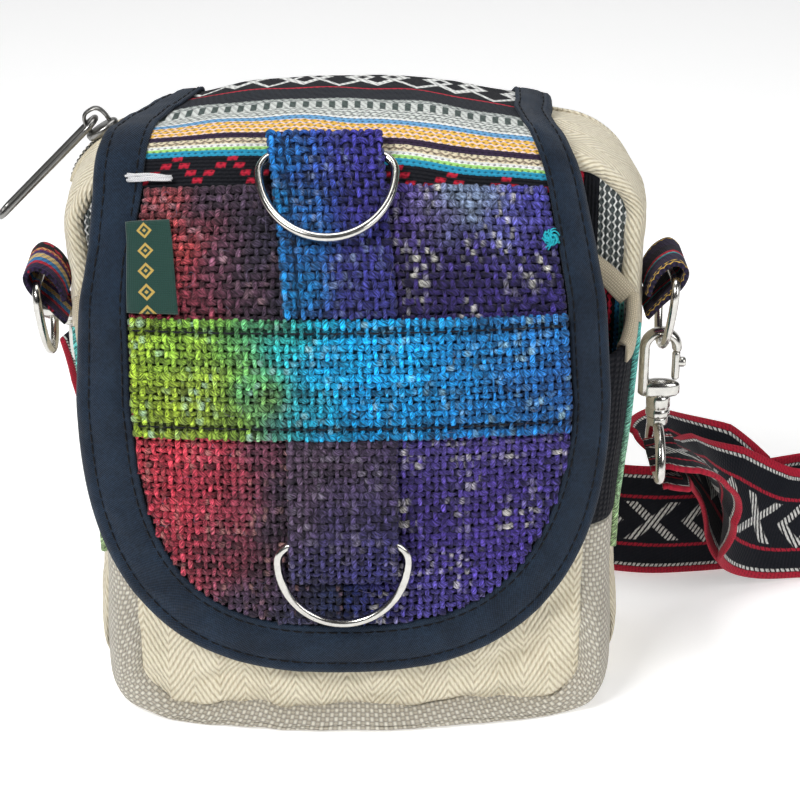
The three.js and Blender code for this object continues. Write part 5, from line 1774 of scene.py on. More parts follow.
        def place(x: Array, t: Array, h: Array) -> Array:
            """Carries (across, length along the strip, height off it) to space."""
            s, up, ds, du = read(np.c_[run, line[:, :2], way[:, :2]], t)
            at_s = s - turn * du * h
            at_x = x + lean * (rows[0][0] - s) / 49
            return self.map.point(at_x, at_s, up + turn * ds * h + self.map.fall(at_x, at_s))

        cut = Cut(constant(-self.strip_half), constant(self.strip_half), 0.0, constant(run[-1]))
        cloth = self.weave.cloth(place, cut, dye, folds=[fold], backing=(-0.6, -0.35))
        put("woven_" + name, cloth, finish, name)

    def label(self) -> None:
        """Small woven tab sewn under the binding's inner edge, its free side a little lifted."""
        left, width, top, bottom = -55.4, 12.6, 94.4, 118.8
        u, t = np.meshgrid(np.linspace(0, 1, 16), np.linspace(0, 1, 28))
        x = left + width * u + 2.0 * (t - 0.5) * u
        s = top + (bottom - top) * t
        h = 3.55 + 0.35 * u**2 + 0.12 * waves(x, s, 9, 7) - 0.9 * (1 - u) ** 9
        over, under = (self.map.point(x, s, h + k) for k in (0.2, -0.2))
        sheet = shell(over, under, np.stack([width * u, (bottom - top) * t], -1))
        put("green_tab", sheet, WovenTab().make(), "label_tab")

    def bar_tack(self, rng: np.random.Generator) -> None:
        """White bar of thread on the left: nine loose strands side by side, drawn by a seeded generator.

        Args:
            rng: The seeded generator.
        """
        t = np.linspace(0, 1, 10)
        strands = []
        for k in range(9):
            a = rng.normal(0, 0.24, 3)
            x = self.tack_at[0] + 11.0 * t + rng.normal(0, 0.5)
            s = self.tack_at[1] + a[0] * (1 + 2 * (t - 0.55) ** 2) + 0.6 * np.sin(3 * t + k) + 0.8 * t
            strands.append(self.map.point(x, s, 2.6 + 0.5 * np.sin(np.pi * t) + a[1] * 0.6))
        put("white_bar_tack", wire(np.stack(strands), (0, -0.5, 0.8), 0.36, 6),
            Thread("white_thread", (236, 236, 238)).make())

    def tuft(self, rng: np.random.Generator) -> None:
        """Cyan tuft on the right: short strands that curl out from near one place.

        Args:
            rng: The seeded generator.
        """
        t = np.linspace(0, 1, 10)
        strands = []
        for _ in range(26):
            turn, start = rng.uniform(0, 2 * np.pi), rng.normal(0, 0.7, 2)
            angle = turn + rng.uniform(0.6, 1.6) * t * 2
            x = self.tuft_at[0] + start[0] + 1.9 * t * np.cos(angle)
            s = self.tuft_at[1] + start[1] + 2.2 * t * np.sin(angle)
            strands.append(self.map.point(x, s, 2.8 + 1.0 * np.sin(np.pi * t) + rng.normal(0, 0.2)))
        put("cyan_tuft", wire(np.stack(strands), (0, -0.5, 0.8), 0.22, 5),
            Thread("cyan_thread", (40, 196, 214)).make())

    def fibres(self, rng: np.random.Generator) -> None:
        """Stray fibres over the patches, the band and the strips: short arcs that rise off the cloth.

        Args:
            rng: The seeded generator.
        """
        t, count = np.linspace(0, 1, 10), 80
        x0, s0 = rng.uniform(-50, 56, count), rng.uniform(86, 205, count)
        kept = np.abs(x0) < 52 - np.maximum(0, s0 - 185) * 0.7
        x0, s0 = x0[kept, None], s0[kept, None]
        ranges = ((0, 6.28), (-2.5, 2.5), (1.5, 4.5))
        turn, bend, long = (rng.uniform(a, b, len(x0))[:, None] for a, b in ranges)
        x = x0 + long * t * np.cos(turn + bend * t)
        s = s0 + long * t * np.sin(turn + bend * t)
        over = np.where((s > self.band_top) & (s < self.band_bottom), 4.9, 2.9)
        over = np.where((np.abs(x) < self.strip_half + 0.5) & ((s < 120) | (s > 153)), 9.8, over)
        lift = over + 0.15 + 0.9 * np.sin(np.pi * t) * rng.uniform(0, 1, (len(x0), 1))
        put("stray_fibres", wire(self.map.point(x, s, lift), (0, -0.7, 0.7), 0.038, 4),
            Thread("pale_fibre", (128, 120, 150)).make())

    def build(self) -> None:
        """Makes every piece of the flap."""
        finish = DyedHemp().make()
        self.base()
        self.binding()
        self.patch("patch_upper_left", -1, True, UPPER_LEFT, finish)
        self.patch("patch_upper_right", 1, True, UPPER_RIGHT, finish)
        self.patch("patch_lower_left", -1, False, LOWER_LEFT, finish)
        self.patch("patch_lower_right", 1, False, LOWER_RIGHT, finish)
        self.band(finish)
        self.strip("strip_upper", self.strip_high, STRIP_HIGH, finish, "hemp_violet", -3.6, (-10.8, 0.9))
        self.strip("strip_lower", self.strip_low, STRIP_LOW, finish, "hemp_brown", 0.0, (11.2, 0.45))
        self.label()
        rng = np.random.default_rng(5)
        self.bar_tack(rng)
        self.tuft(rng)
        self.fibres(rng)


# Main compartment

# Columns: height, share taken off the width of the body and the pocket
WAIST = ((20, 0.04), (40, 0.055), (60, 0.05), (85, 0.02), (110, 0.0))


def narrow(points: Array) -> Array:
    """Draws points in towards x = 0 by the waist's share at their height."""
    return points * stacked(1 - read(WAIST, points[..., 2])[0], 1, 1)


@dataclass
class MainBody:
    """Zipped main compartment: herringbone gusset and back, striped front wall and the zip."""

    half: float = 78.5
    height: float = 168.0
    front_y: float = -5.0
    back_y: float = 31.0
    top_radius: float = 18.0
    base_radius: float = 18.0
    arch: float = 10.0
    crown: float = 0.8
    crown_from: float = 40.0
    wall: float = 1.7
    gap: float = 0.3
    dome: float = 2.4
    nearly_flat: float = 1e-6
    front_inset: float = 3.4
    zip_y: float = 22.0
    zip_from: float = 42.0
    zip_length: float = 132.0
    tooth_pitch: float = 1.5

    def runs(self) -> list[Pair]:
        """Lengths and radii of the outline's runs, from the middle of the base anticlockwise."""
        low, high = np.pi / 2 * self.base_radius, np.pi / 2 * self.top_radius
        foot, side = self.half - self.base_radius, self.height - self.base_radius - self.top_radius
        top = 2 * (self.half - self.top_radius)
        right = [(foot, 0.0), (low, self.base_radius), (side, 0.0), (high, self.top_radius)]
        return [*right, (top, 0.0), *right[::-1]]

    def sag(self, x: Array, z: Array) -> Array:
        """Drop of the top towards the sides, fading to nothing at half height."""
        share = np.maximum(0, z / self.height - 0.5) * 2
        return self.arch * (x / self.half) ** 2 * share**2

    def outline(self, along: Array, outset: Array) -> tuple[Array, Array]:
        """Walks the rounded outline, then steps outward and lets the top sag."""
        x, z, heading = walk(np.asarray(along, float), (0, 0, 0), self.runs())
        x, z = x + np.sin(heading) * outset, z - np.cos(heading) * outset
        return x, z - self.sag(x, z)

    def gusset_point(self, along: Array, y: Array, outset: Array) -> Array:
        """Point on the gusset: the outline at depth y, swelled between the gusset's edges.

        Args:
            along: Lengths along the outline.
            y: Depths in space.
            outset: Steps outward.

        Returns:
            Points with a last axis of three.
        """
        along, y, outset = np.broadcast_arrays(*(np.asarray(v, float) for v in (along, y, outset)))
        depth = (y - self.front_y) / (self.back_y - self.front_y)
        rising = np.minimum(1, self.outline(along, np.zeros_like(along))[1] / self.crown_from)
        swell = self.crown * rising * np.maximum(0, 1 - (2 * depth - 1) ** 2)
        x, z = self.outline(along, outset + swell)
        return narrow(np.stack([x, y, z], -1))

    def gusset(self, finish: Material) -> None:
        """Cloth round the outline: rumpled, rolled over the front wall's edge and into the back seam.

        Args:
            finish: Its finish.
        """
        total = sum(length for length, _ in self.runs())
        count = 320
        # Columns: y and outset of the outer face, y and outset of the inner face, from front to back
        rolled = np.array([(-6.7, -5.9, -6.7, -5.0), (-7.5, -5.6, -6.6, -4.6), (-8.1, -4.7, -6.5, -4.1),
                           (-8.4, -3.6, -6.3, -3.7), (-8.2, -2.5, -6.0, -3.3), (-7.5, -1.6, -5.6, -2.9),
                           (-6.4, -1.0, -5.0, -2.5), (-5.0, -0.6, -4.2, -2.2), (-3.6, -0.3, -3.2, -1.9)])
        flat = np.linspace(-2, 27, 18)
        plain = stacked(flat, 0, flat, -1.7)
        behind = np.array([(28.6, 0, 28.4, -1.7), (29.8, -0.2, 29.0, -1.7), (30.6, -0.6, 29.4, -1.8),
                           (31.1, -1.4, 29.8, -2.2)])
        rows = np.vstack([rolled, plain, behind])
        along = (np.arange(count + 1) / count * total)[None]
        rising = ease(4, 40, self.outline(along, 0 * along)[1])
        rumple = (0.5 * waves(along, rows[:, :1], 26, 101) + 0.2 * waves(along, rows[:, :1], 8, 102)) * rising
        edge = np.where(rows[:, 1:2] < 0, rows[:, 1:2] * (0.25 + 0.75 * rising), 0.0)
        outer = self.gusset_point(along, rows[:, :1], rumple + edge)[:, :-1]
        inner = self.gusset_point(along, rows[:, 2:3], np.minimum(rumple, 0.3) + rows[:, 3:4])[:, :-1]
        uv = stacked(run_along(rows[:, :2])[:, None], along)
        put("gusset_cloth", shell(outer, inner, uv, wrap=True), finish, "main_gusset")

    def corner(self, off: Array, radius: float) -> Array:
        """How far a rounded corner draws the side in, at a distance past the corner's start."""
        return np.sqrt(np.maximum(0, radius**2 - np.maximum(0, off) ** 2)) - radius

    def panel(self, name: str, near: float, dome: float, inset: float, finish: Material, node: str,
              pattern: Callable[[Array, Array], Array]) -> None:
        """Wall panel with the body's outline less an inset, domed by sines and rumpled.

        Args:
            name: The piece's name.
            near: The y of the face towards the middle of the bag.
            dome: How far it bows out, towards its outer face.
            inset: Margin that is left off the outline.
            finish: Its material.
            node: The solid that it replaces.
            pattern: Gives the pattern coordinates at (x, z).
        """
        v, u = np.meshgrid(np.linspace(0, 1, 90), np.linspace(-1, 1, 70))
        z = (0.5 - 0.5 * np.cos(np.pi * v)) * self.height
        x = u * (self.half + self.corner(self.base_radius - z, self.base_radius)
                 + self.corner(z - self.height + self.top_radius, self.top_radius))
        room = (1 - u**2) * np.sin(np.pi * v)
        bulge = dome * room + np.sign(dome) * 0.8 * waves(x, z, 40, 111) * room
        z = (z - self.sag(x, z)) * (1 - inset / self.height)
        x = x * (1 - inset / self.half)
        far = near + np.sign(dome) * self.wall
        outer, inner = (narrow(np.stack([x, y + bulge, z], -1)) for y in (far, near))
        put(name, shell(outer, inner, pattern(x, z)), finish, node)

    def zip_start(self) -> float:
        """Length along the outline where the zip begins, just past the right shoulder."""
        return sum(length for length, _ in self.runs()[:3]) + self.zip_from

    def zip(self) -> None:
        """Zip: tape with turned-in cloth edges beside it, and two rows of interlocking teeth."""
        along = self.zip_start() + np.linspace(0, 1, 150) * self.zip_length
        y = np.array([-4.2, -3.6, -3.0, -1.6, 0.0, 1.6, 3.0, 3.6, 4.2])
        h = np.array([0.3, 0.95, 0.6, 0.35, 0.3, 0.35, 0.6, 0.95, 0.3])
        a, yy = np.meshgrid(along, y, indexing="ij")
        outer, inner = (self.gusset_point(a, self.zip_y + yy, k) for k in (h, -0.4))
        finish = TwillTape("cream_zip_tape", (206, 196, 170), (228, 220, 198), 0.8).make()
        put("zip_tape", shell(outer, inner, np.stack([yy, a], -1)), finish, "zip_chain")
        count = 2 * int(self.zip_length / self.tooth_pitch)
        at = (self.zip_start() + np.arange(count) / count * self.zip_length)[:, None]
        sign = np.where(np.arange(count) % 2, 1.0, -1.0)[:, None]
        t = np.linspace(0, 1, 5)[None]
        y, rise = self.zip_y + sign * (1.7 - 2.0 * t), 0.55 + 0.45 * np.sin(np.pi * t)
        paths = self.gusset_point(at, y, rise)
        up = unit(self.gusset_point(at, y, rise + 1) - paths)
        size = np.full(paths.shape[:2], 0.42)
        metal = Metal("dull_zinc", (150, 148, 140), 0.4).make()
        put("zip_teeth", tubes(paths, up, size, size * 0.8, 5), metal)

    def build(self, cream: Material) -> None:
        """Makes every piece of the main compartment.

        Args:
            cream: Finish of the herringbone cloth.
        """
        self.gusset(cream)
        self.panel("back_cloth", self.back_y + self.gap, self.dome, 0.0, cream,
                   "main_back_panel", stacked)
        wall = StripedCloth("striped_wall", WALL_STRIPES).make()
        self.panel("front_wall_cloth", self.front_y - self.gap, -self.nearly_flat, self.front_inset, wall,
                   "main_front_panel", lambda x, z: stacked(z, np.abs(x)))
        self.zip()


# Front pocket

@dataclass
class Pocket:
    """Open front pocket: herringbone front, plain-woven gusset, striped sides and back, bound edges."""

    front_y: float = -35.2
    back_y: float = -9.9
    side_droop: float = 7.0
    tuck: float = 3.0
    tuck_below: float = 30.0
    split: float = 60.0
    mouth_back: float = 123.0
    mouth_front: float = 111.0
    seam: float = 6.2
    corner: float = 10.0
    heavy: float = 1.7
    light: float = 1.4
    gap: float = 0.3
    arch: float = 22.0
    back_half: float = 75.5
    back_mid: float = -8.9
    cord_x: float = 76.8
    cord_from: float = 46.0
    back_tape_half: float = 75.1
    front_tape_half: float = 63.8
    # Columns: depth from the body to the front, half width, bottom, extra depth of the rolled lower edge
    sections: Rows = (
        (0.0, 76.2, 0.0, 0.0), (0.45, 75.0, 0.0, 0.1), (0.78, 73.0, 0.0, 0.3), (0.90, 70.8, 0.9, 0.42),
        (0.97, 68.4, 2.9, 0.3), (1.0, 65.6, 5.9, 0.0))

    def face(self, x: Array, z: Array) -> Array:
        """Outer face of the front: bowed back to the sides and tucked in above the seam."""
        return (self.front_y + self.side_droop * (x / 65) ** 2
                + self.tuck * np.maximum(0, 1 - z / self.tuck_below) ** 2)

    def dent(self, x: Array, z: Array) -> Array:
        """Slanting fold at the lower right: a bell 9 by 6 mm and 3.2 mm deep, faded out at the seam."""
        dx, dz = x - 46, z - 20
        along = (dx + 0.75 * dz) / 1.25 / 9
        across = (dz - 0.75 * dx) / 1.25 / 6
        return 3.2 * np.clip((z - self.seam) / 12, 0, 1) * np.exp(-(along**2) - across**2)

    def slump(self, points: Array) -> Array:
        """Lets the front's lower seam rise and fall, then draws the pocket in at the waist.

        The rise is a slow wave over x times (z / 8) exp(1 - z / 8), which peaks 8 mm up, near the seam,
        and is nothing at the floor. It fades out about 20 mm behind the front.

        Args:
            points: Points of the pocket.

        Returns:
            The points in their new places.
        """
        x, y, z = np.moveaxis(points, -1, 0)
        wave = 1.5 * waves(x, 0, 34, 125) + 0.6 * waves(x, 0, 13, 126)
        rise = wave * z / 8 * np.exp(1 - z / 8) * ease(-16, -30, y)
        return narrow(np.stack([x, y, np.maximum(0, z + rise)], -1))

    def front(self, finish: Material) -> None:
        """Front panel with rounded lower corners, rumples, the dent and a turned-in lower edge.

        Args:
            finish: Its finish.
        """
        u, v = np.meshgrid(np.linspace(-1, 1, 110), np.linspace(0, 1, 80))
        z = self.seam + (self.mouth_front - self.seam) * v**1.5
        rise = np.minimum(z - self.seam, self.corner)
        x = u * (self.sections[-1][1] - self.corner + np.sqrt(self.corner**2 - (self.corner - rise) ** 2))
        room = ease(0, 0.08, v) * ease(1, 0.93, np.abs(u))
        rumple = (0.95 * waves(x, z * 1.4, 24, 121) + 0.3 * waves(x, z, 9, 122)) * room * ease(70, 30, z)
        lip = 1.3 * np.exp(-((z - self.seam) / 1.6)) + 0.9 * ease(0.97, 1.0, np.abs(u)) * ease(60, 20, z)
        y = self.face(x, z) + self.dent(x, z) + rumple + lip * 0.8
        outer, inner = (self.slump(np.stack([x, y + k, z], -1)) for k in (0.0, self.heavy))
        put("pocket_front_cloth", shell(outer, inner, np.stack([x + 4, z], -1)), finish,
            "pocket_front_panel")

    def wall_y(self, x: Array, z: Array, depth: Array) -> Array:
        """Depth in space between the body and the front's inner face."""
        return self.back_y + (self.face(x, z) + self.heavy + self.gap - self.back_y) * depth

    def section(self, depth: Array) -> list[Array]:
        """Half width, bottom and roll of the gusset at a depth, on a smooth curve through the table."""
        deep = (26, 1, 1, 26)
        return read(centripetal(np.array(self.sections) * deep, 10) / deep, depth)

    def gusset_point(self, along: Array, depth: Array, inset: Array) -> Array:
        """Point on the gusset: up to the corner's arc under the base, round it, and up the side.

        Args:
            along: -1 at the left split, through 0 under the base, to 1 at the right split.
            depth: 0 at the body to 1 at the front.
            inset: Steps inward.

        Returns:
            Points with a last axis of three.
        """
        half, bottom, roll = self.section(depth)
        half, bottom = half - inset, np.maximum(0, bottom) + inset
        flat, arc = half - self.corner, np.pi / 2 * self.corner
        side = self.split - bottom - self.corner
        reach = np.abs(along) * (side + arc + flat)
        turn = np.clip((reach - flat) / self.corner, 0, np.pi / 2)
        x = np.minimum(reach, flat) + self.corner * np.sin(turn)
        z = bottom + self.corner * (1 - np.cos(turn)) + np.maximum(0, reach - flat - arc)
        low = 1 - ease(16, 46, z)
        return self.slump(np.stack([np.sign(along) * x, self.wall_y(x, z, depth + roll * low), z], -1))

    def gusset(self) -> None:
        """Plain-woven band under and beside the pocket, its front edge rolled into the seam."""
        depths = np.r_[np.linspace(0, 0.78, 14), np.linspace(0.8, 1.0, 14)]
        along, depth = np.meshgrid(np.linspace(-1, 1, 200), depths)
        # The reach at zero would lose its sign, so the middle column steps off it
        along = np.where(np.abs(along) < 1e-9, 1e-9, along)
        outer = self.gusset_point(along, depth, np.zeros_like(along))
        rumple = 0.5 * waves(outer[..., 0], outer[..., 1] * 2, 20, 131) * ease(0.5, 0.85, depth)
        inset = np.maximum(0.0, rumple)
        outer, inner = (self.gusset_point(along, depth, inset + k) for k in (0.0, self.heavy))
        deep = np.linalg.norm(np.diff(outer, axis=0, prepend=outer[:1]), axis=2).cumsum(0)
        uv = np.stack([along * 125, deep], -1)
        cloth = PlainCloth("plain_hemp", (231, 226, 212), (188, 180, 164), 1.4, 1.3, 0.4).make()
        put("pocket_gusset_cloth", shell(outer, inner, uv), cloth, "pocket_gusset")

    def sides(self) -> None:
        """Striped upper sides, each with a twisted cord down its back edge."""
        finish = StripedCloth("striped_side", SIDE_STRIPES).make()
        cords = DyedHemp("edge_cord").make()
        for word, sign in SIDES:
            depth, u = np.meshgrid(np.linspace(0, 1, 24), np.linspace(0, 1, 40))
            top = self.mouth_back + (self.mouth_front - self.mouth_back) * depth
            z = self.split + self.gap + (top - self.split - self.gap) * u
            x = self.section(depth)[0] + 0.4 * waves(z, depth * 25, 24, 141) * np.sin(np.pi * depth)
            y = self.wall_y(x, z, depth)
            outer, inner = (narrow(np.stack([sign * (x - k), y, z], -1)) for k in (0.0, self.light))
            uv = np.stack([z, self.back_y - y], -1)
            put(f"pocket_side_cloth_{word}", shell(outer, inner, uv), finish,
                f"pocket_side_{word}")
            z = np.linspace(self.cord_from, self.mouth_front + 4, 60)
            path = narrow(stacked(sign * self.cord_x, self.back_y - 1.2, z))
            share = np.repeat(ease(50, 110, z), 8)[:, None]
            low, high = (np.array(linear(c)[:3]) for c in ((176, 206, 150), (110, 208, 200)))
            cord = wire(path, (0, -1, 0), 1.0, 8).dyed(low * (1 - share) + high * share)
            put(f"edge_cord_{word}", cord, cords)

    def back_top(self, x: Array) -> Array:
        """Upper edge of the back: an arch that falls with the fourth power towards the sides."""
        return self.mouth_back + self.arch * (1 - np.abs(x / self.back_half) ** 4)

    def back(self) -> None:
        """Striped back wall of the pocket, up to its arched edge."""
        half, foot = self.back_half, 1.5
        a, v = np.meshgrid(np.linspace(-1, 1, 80), np.linspace(0, 1, 40))
        x = half * np.sin(a * np.pi / 2)
        beyond = np.maximum(0, np.abs(x) - (half - self.corner))
        low = foot + self.corner - np.sqrt(self.corner**2 - beyond**2)
        z = low + (self.back_top(x) - low) * v
        outer, inner = (narrow(stacked(x, self.back_mid + k * self.light / 2, z)) for k in (-1, 1))
        finish = StripedCloth("striped_back", BACK_STRIPES).make()
        put("pocket_back_cloth", shell(outer, inner, stacked(z, np.abs(x))), finish,
            "pocket_back")

    def tape(self, name: str, path: Array, across: Array, up: Array, cloth: float, finish: Material,
             node: str) -> None:
        """Folded edge tape: a rounded channel over the cloth's edge, carried along a path.

        Args:
            name: The piece's name.
            path: Points on the edge.
            across: Directions through the cloth.
            up: Directions off the edge.
            cloth: Thickness of the cloth inside.
            finish: The tape's material.
            node: The solid that it replaces.
        """
        slot = cloth / 2 + 0.25
        out = slot + 0.85
        a = np.array([-out + 0.1, -slot, -slot, slot, slot, out - 0.1, out, out + 0.12, out, out * 0.7, 0,
                      -out * 0.7, -out, -out - 0.12, -out])
        b = np.array([-4.3, -4.2, 0.3, 0.3, -4.2, -4.3, -3.9, -2.2, -0.4, 0.9, 1.35, 0.9, -0.4, -2.2, -3.9])
        run = run_along(path)
        wavy = 1 + 0.06 * waves(run[:, None], b * 2, 12, 151)
        rings = path[:, None] + across[:, None] * (a * wavy)[..., None] + up[:, None] * (b * wavy)[..., None]
        put(name, loft(rings, stacked(np.arange(len(a) + 1) * 1.4, run[:, None])), finish, node)

    def tapes(self) -> None:
        """Cream tape on the back's arch, the front's mouth and both sloping sides."""
        finish = PlainCloth("cream_tape", (216, 204, 178), (206, 193, 166), 0.6, 0.6, 0.1).make()
        top = np.array([0.0, 0.0, 1.0])
        x = self.back_tape_half * np.sin(np.linspace(-1, 1, 90) * np.pi / 2)
        slope = np.arctan(np.gradient(self.back_top(x), x))
        path = stacked(x, self.back_mid, self.back_top(x))
        self.tape("back_edge_tape", path, stacked(0 * x, -1, 0), stacked(-np.sin(slope), 0, np.cos(slope)),
                  self.light, finish, "pocket_back_binding")
        x = np.linspace(self.front_tape_half, -self.front_tape_half, 80)
        path = stacked(x, self.face(x, self.mouth_front) + self.heavy / 2, self.mouth_front)
        way = unit(np.gradient(path, axis=0))
        self.tape("front_edge_tape", path, np.cross(way, top), stacked(0 * x, 0, 1), self.heavy, finish,
                  "pocket_front_binding")
        for word, sign in SIDES:
            depth = np.linspace(0.02, 0.84, 30)
            x = self.section(depth)[0] - self.light / 2
            z = self.mouth_back + (self.mouth_front - self.mouth_back) * depth
            path = stacked(sign * x, self.wall_y(x, z, depth), z)
            way = unit(np.gradient(path, axis=0) * [1, 1, 0])
            self.tape(f"side_edge_tape_{word}", path, np.cross(way, top), stacked(0 * x, 0, 1), self.light,
                      finish, f"pocket_side_binding_{word}")

    def build(self, cream: Material) -> None:
        """Makes every piece of the pocket."""
        self.front(cream)
        self.gusset()
        self.sides()
        self.back()
        self.tapes()


# Hardware

def lathe(profile: Pairs, sides: int = 24, squash: Pair = (1, 1)) -> Surface:
    """Turned shape about Z through (radius, height) rows, with its X and Y scaled."""
    rows = np.array(profile, float)
    a = 2 * np.pi * np.arange(sides) / sides
    rings = stacked(rows[:, :1] * np.cos(a) * squash[0], rows[:, :1] * np.sin(a) * squash[1], rows[:, 1:])
    return loft(rings, stacked(np.arange(sides + 1.0), rows[:, 1:]))


def moved(surface: Surface, axes: Array, origin: Sequence[float]) -> Surface:
    """Carries a surface by a matrix whose rows are the new axes, then to an origin."""
    surface.points = surface.points @ np.asarray(axes, float) + np.asarray(origin, float)
    return surface.outward()


def ring_line(half: float, height: float, corner: float, steps: int) -> Array:
    """D-ring's middle line: bar on top, short round corners, half ellipse below.

    Args:
        half: Half width.
        height: From the bar to the bow's lowest point.
        corner: Radius of the corners.
        steps: Points on the bow.

    Returns:
        Points (across, up).
    """
    a = np.linspace(0, np.pi, steps)
    bow = np.stack([half * np.cos(a), -corner - (height - corner) * np.sin(a)], 1)
    b = np.linspace(0, np.pi / 2, 8)[1:]
    left = stacked(-half + corner * (1 - np.cos(b)), corner * (np.sin(b) - 1))
    bar = stacked(np.linspace(-half + corner, half - corner, 14)[1:-1], 0)
    return np.vstack([bow, left, bar, left[::-1] * (-1, 1)])


@dataclass
class Hardware:
    """D-rings, side tabs with their rings, snap hooks, zip slider and puller."""

    main: MainBody
    flap: FlapMap
    side_bar: Pair = (87.4, 125.2)
    side_y: float = 4.0
    side_lean: float = -5.0
    right_hook: Point = (85.73, 4.0, 102.29)
    left_hook: Point = (-86.09, 14.42, 110.26)
    left_pitch: float = 63.0
    left_yaw: float = -7.0
    wire: float = 1.2
    slider_at: float = 116.0
    puller_turn: float = 225.0
    # Columns of these three: half width, height, corner radius
    flap_ring: Point = (17.65, 24.4, 5.2)
    side_ring: Point = (12.8, 22.6, 4.5)
    eye_ring: Point = (12.2, 13.5, 3.0)
    # Columns: distance from the middle, height, round the ring's bar
    tab: Rows = (
        (80.2, 114), (84.2, 118.5), (89.2, 123.5), (90.4, 127.5), (87.8, 130), (84.2, 128.4), (81.4, 124.5),
        (80.2, 120.5))

    def d_ring(self, name: str, bar: Pair, lift: float, shift: float, finish: Material) -> None:
        """Flap ring on its own body: a wire along the ring's line, turned to the flap's slope.

        Args:
            name: The ring's solid and body.
            bar: The bar's s and height on the flap.
            lift: How far its bow stands off the flap, in degrees.
            shift: Its move to the right.
            finish: Its material.
        """
        s, h = bar
        y, z, heading = (float(v) for v in self.flap.profile(np.array(s)))
        down = heading - np.radians(lift)
        across, up = ring_line(*self.flap_ring, 40).T
        path = np.stack([self.flap.centre + shift + across, y + np.sin(heading) * h - up * np.cos(down),
                         z - np.cos(heading) * h - up * np.sin(down)], 1)
        off = (0.0, np.sin(down), -np.cos(down))
        put(name + "_wire", wire(path, off, self.wire, 14, True), finish, name, name)

    def sides(self, finish: Material) -> None:
        """Striped tab and ring on each side.

        Args:
            finish: Finish of the rings.
        """
        cloths = {"left": StripedCloth("striped_tab", TAB_STRIPES, 0.0, 1.4, 0.9).make(),
                  "right": StripedCloth("plum_tab", RIGHT_TAB_STRIPES, 0.0, 2.0, 0.9).make()}
        line = centripetal(np.c_[np.array(self.tab), np.zeros(len(self.tab))], 8)
        way = unit(np.gradient(line, axis=0))
        across = np.array([-10, -9.7, -9.0, -5, 0, 5, 9.0, 9.7, 10.0])
        thin = 0.7 * np.array([0.5, 0.85, 1, 1, 1, 1, 1, 0.85, 0.5])
        tilt = np.radians(self.side_lean)
        ring_y, ring_up = ring_line(*self.side_ring, 36).T
        uv = stacked(run_along(line)[:, None], across + 10)
        for word, sign in SIDES:
            faces = [stacked(sign * (line[:, :1] - way[:, 1:2] * k), self.side_y + across,
                             line[:, 1:2] + way[:, :1] * k) for k in (thin, -thin)]
            put(f"side_tab_cloth_{word}", shell(*faces, uv), cloths[word],
                f"side_tab_{word}")
            path = np.stack([sign * (self.side_bar[0] - ring_up * np.sin(tilt)), self.side_y + ring_y,
                             self.side_bar[1] + ring_up * np.cos(tilt)], 1)
            put(f"side_ring_wire_{word}", wire(path, (1, 0, 0.1), self.wire, 14, True), finish,
                f"side_ring_{word}")

    def claw(self) -> Surface:
        """Hook's claw: a tapering oval bar over an arch, its heel and its turned barrel.

        Returns:
            The claw, with the middle of the arch near the origin.
        """
        a = np.linspace(np.pi, 0, 28)
        path = np.vstack([stacked(-4.5, 0, np.linspace(-15, -1.6, 8)),
                          stacked(4.5 * np.cos(a), 0, -1 + 4.5 * np.sin(a)),
                          [[4.5, 0, -1.6], [4.45, 0, -1.95], [4.4, 0, -2.0]]])
        bar = oval_bar(path, np.r_[np.ones(36), 0.95, 0.75, 0.4], 1.5, 2.4, 14)
        heel = lathe(((2.0, -16.0), (5.4, -15.8), (6.0, -15.2), (6.0, -12.8), (5.6, -12.2), (4.6, -11.6),
                      (2.5, -11.1), (0.6, -11.0)), 28, (1.0, 0.42))
        barrel = lathe(((2.3, -22.0), (3.3, -22.0), (3.5, -21.7), (3.5, -20.2), (3.2, -19.9), (3.2, -19.4),
                        (3.5, -19.1), (3.5, -16.4), (3.2, -15.6), (2.0, -15.0)))
        return merge([bar, heel, barrel])

    def eye(self) -> Surface:
        """Hook's eye: stem, collar and a wire D that carries the strap."""
        stem = lathe(((1.8, -25.1), (2.0, -24.9), (2.0, -18.2), (1.8, -18.0)), 16)
        collar = lathe(((2.4, -25.1), (2.9, -24.8), (3.0, -24.2), (3.0, -22.9), (2.8, -22.4), (2.4, -22.3)),
                       20)
        across, up = ring_line(*self.eye_ring, 32).T
        return merge([stem, collar, wire(stacked(0, across, -38 - up), (1, 0, 0), 1.5, 12, True)])

    def gate(self) -> Surface:
        """Hook's gate: an oval bar from its pivot to the claw's tip, with a thumb knob."""
        path = stacked(4.5, 0, np.array([-11, -10.7, -10, -8, -6, -4.5, -3, -2.5, -2.3]))
        bar = oval_bar(path, np.array([0.6, 0.9, 1, 1, 1, 1, 1, 0.85, 0.6]), 1.2, 1.4, 12)
        knob = lathe(((0.7, -1.6), (1.25, -1.45), (1.45, -0.9), (1.45, 0), (1.2, 0.6), (1.2, 1.3)), 16)
        return merge([bar, moved(knob, [[0, 0, 1], [0, 1, 0], [-1, 0, 0]], (5.7, 0, -5.7))])

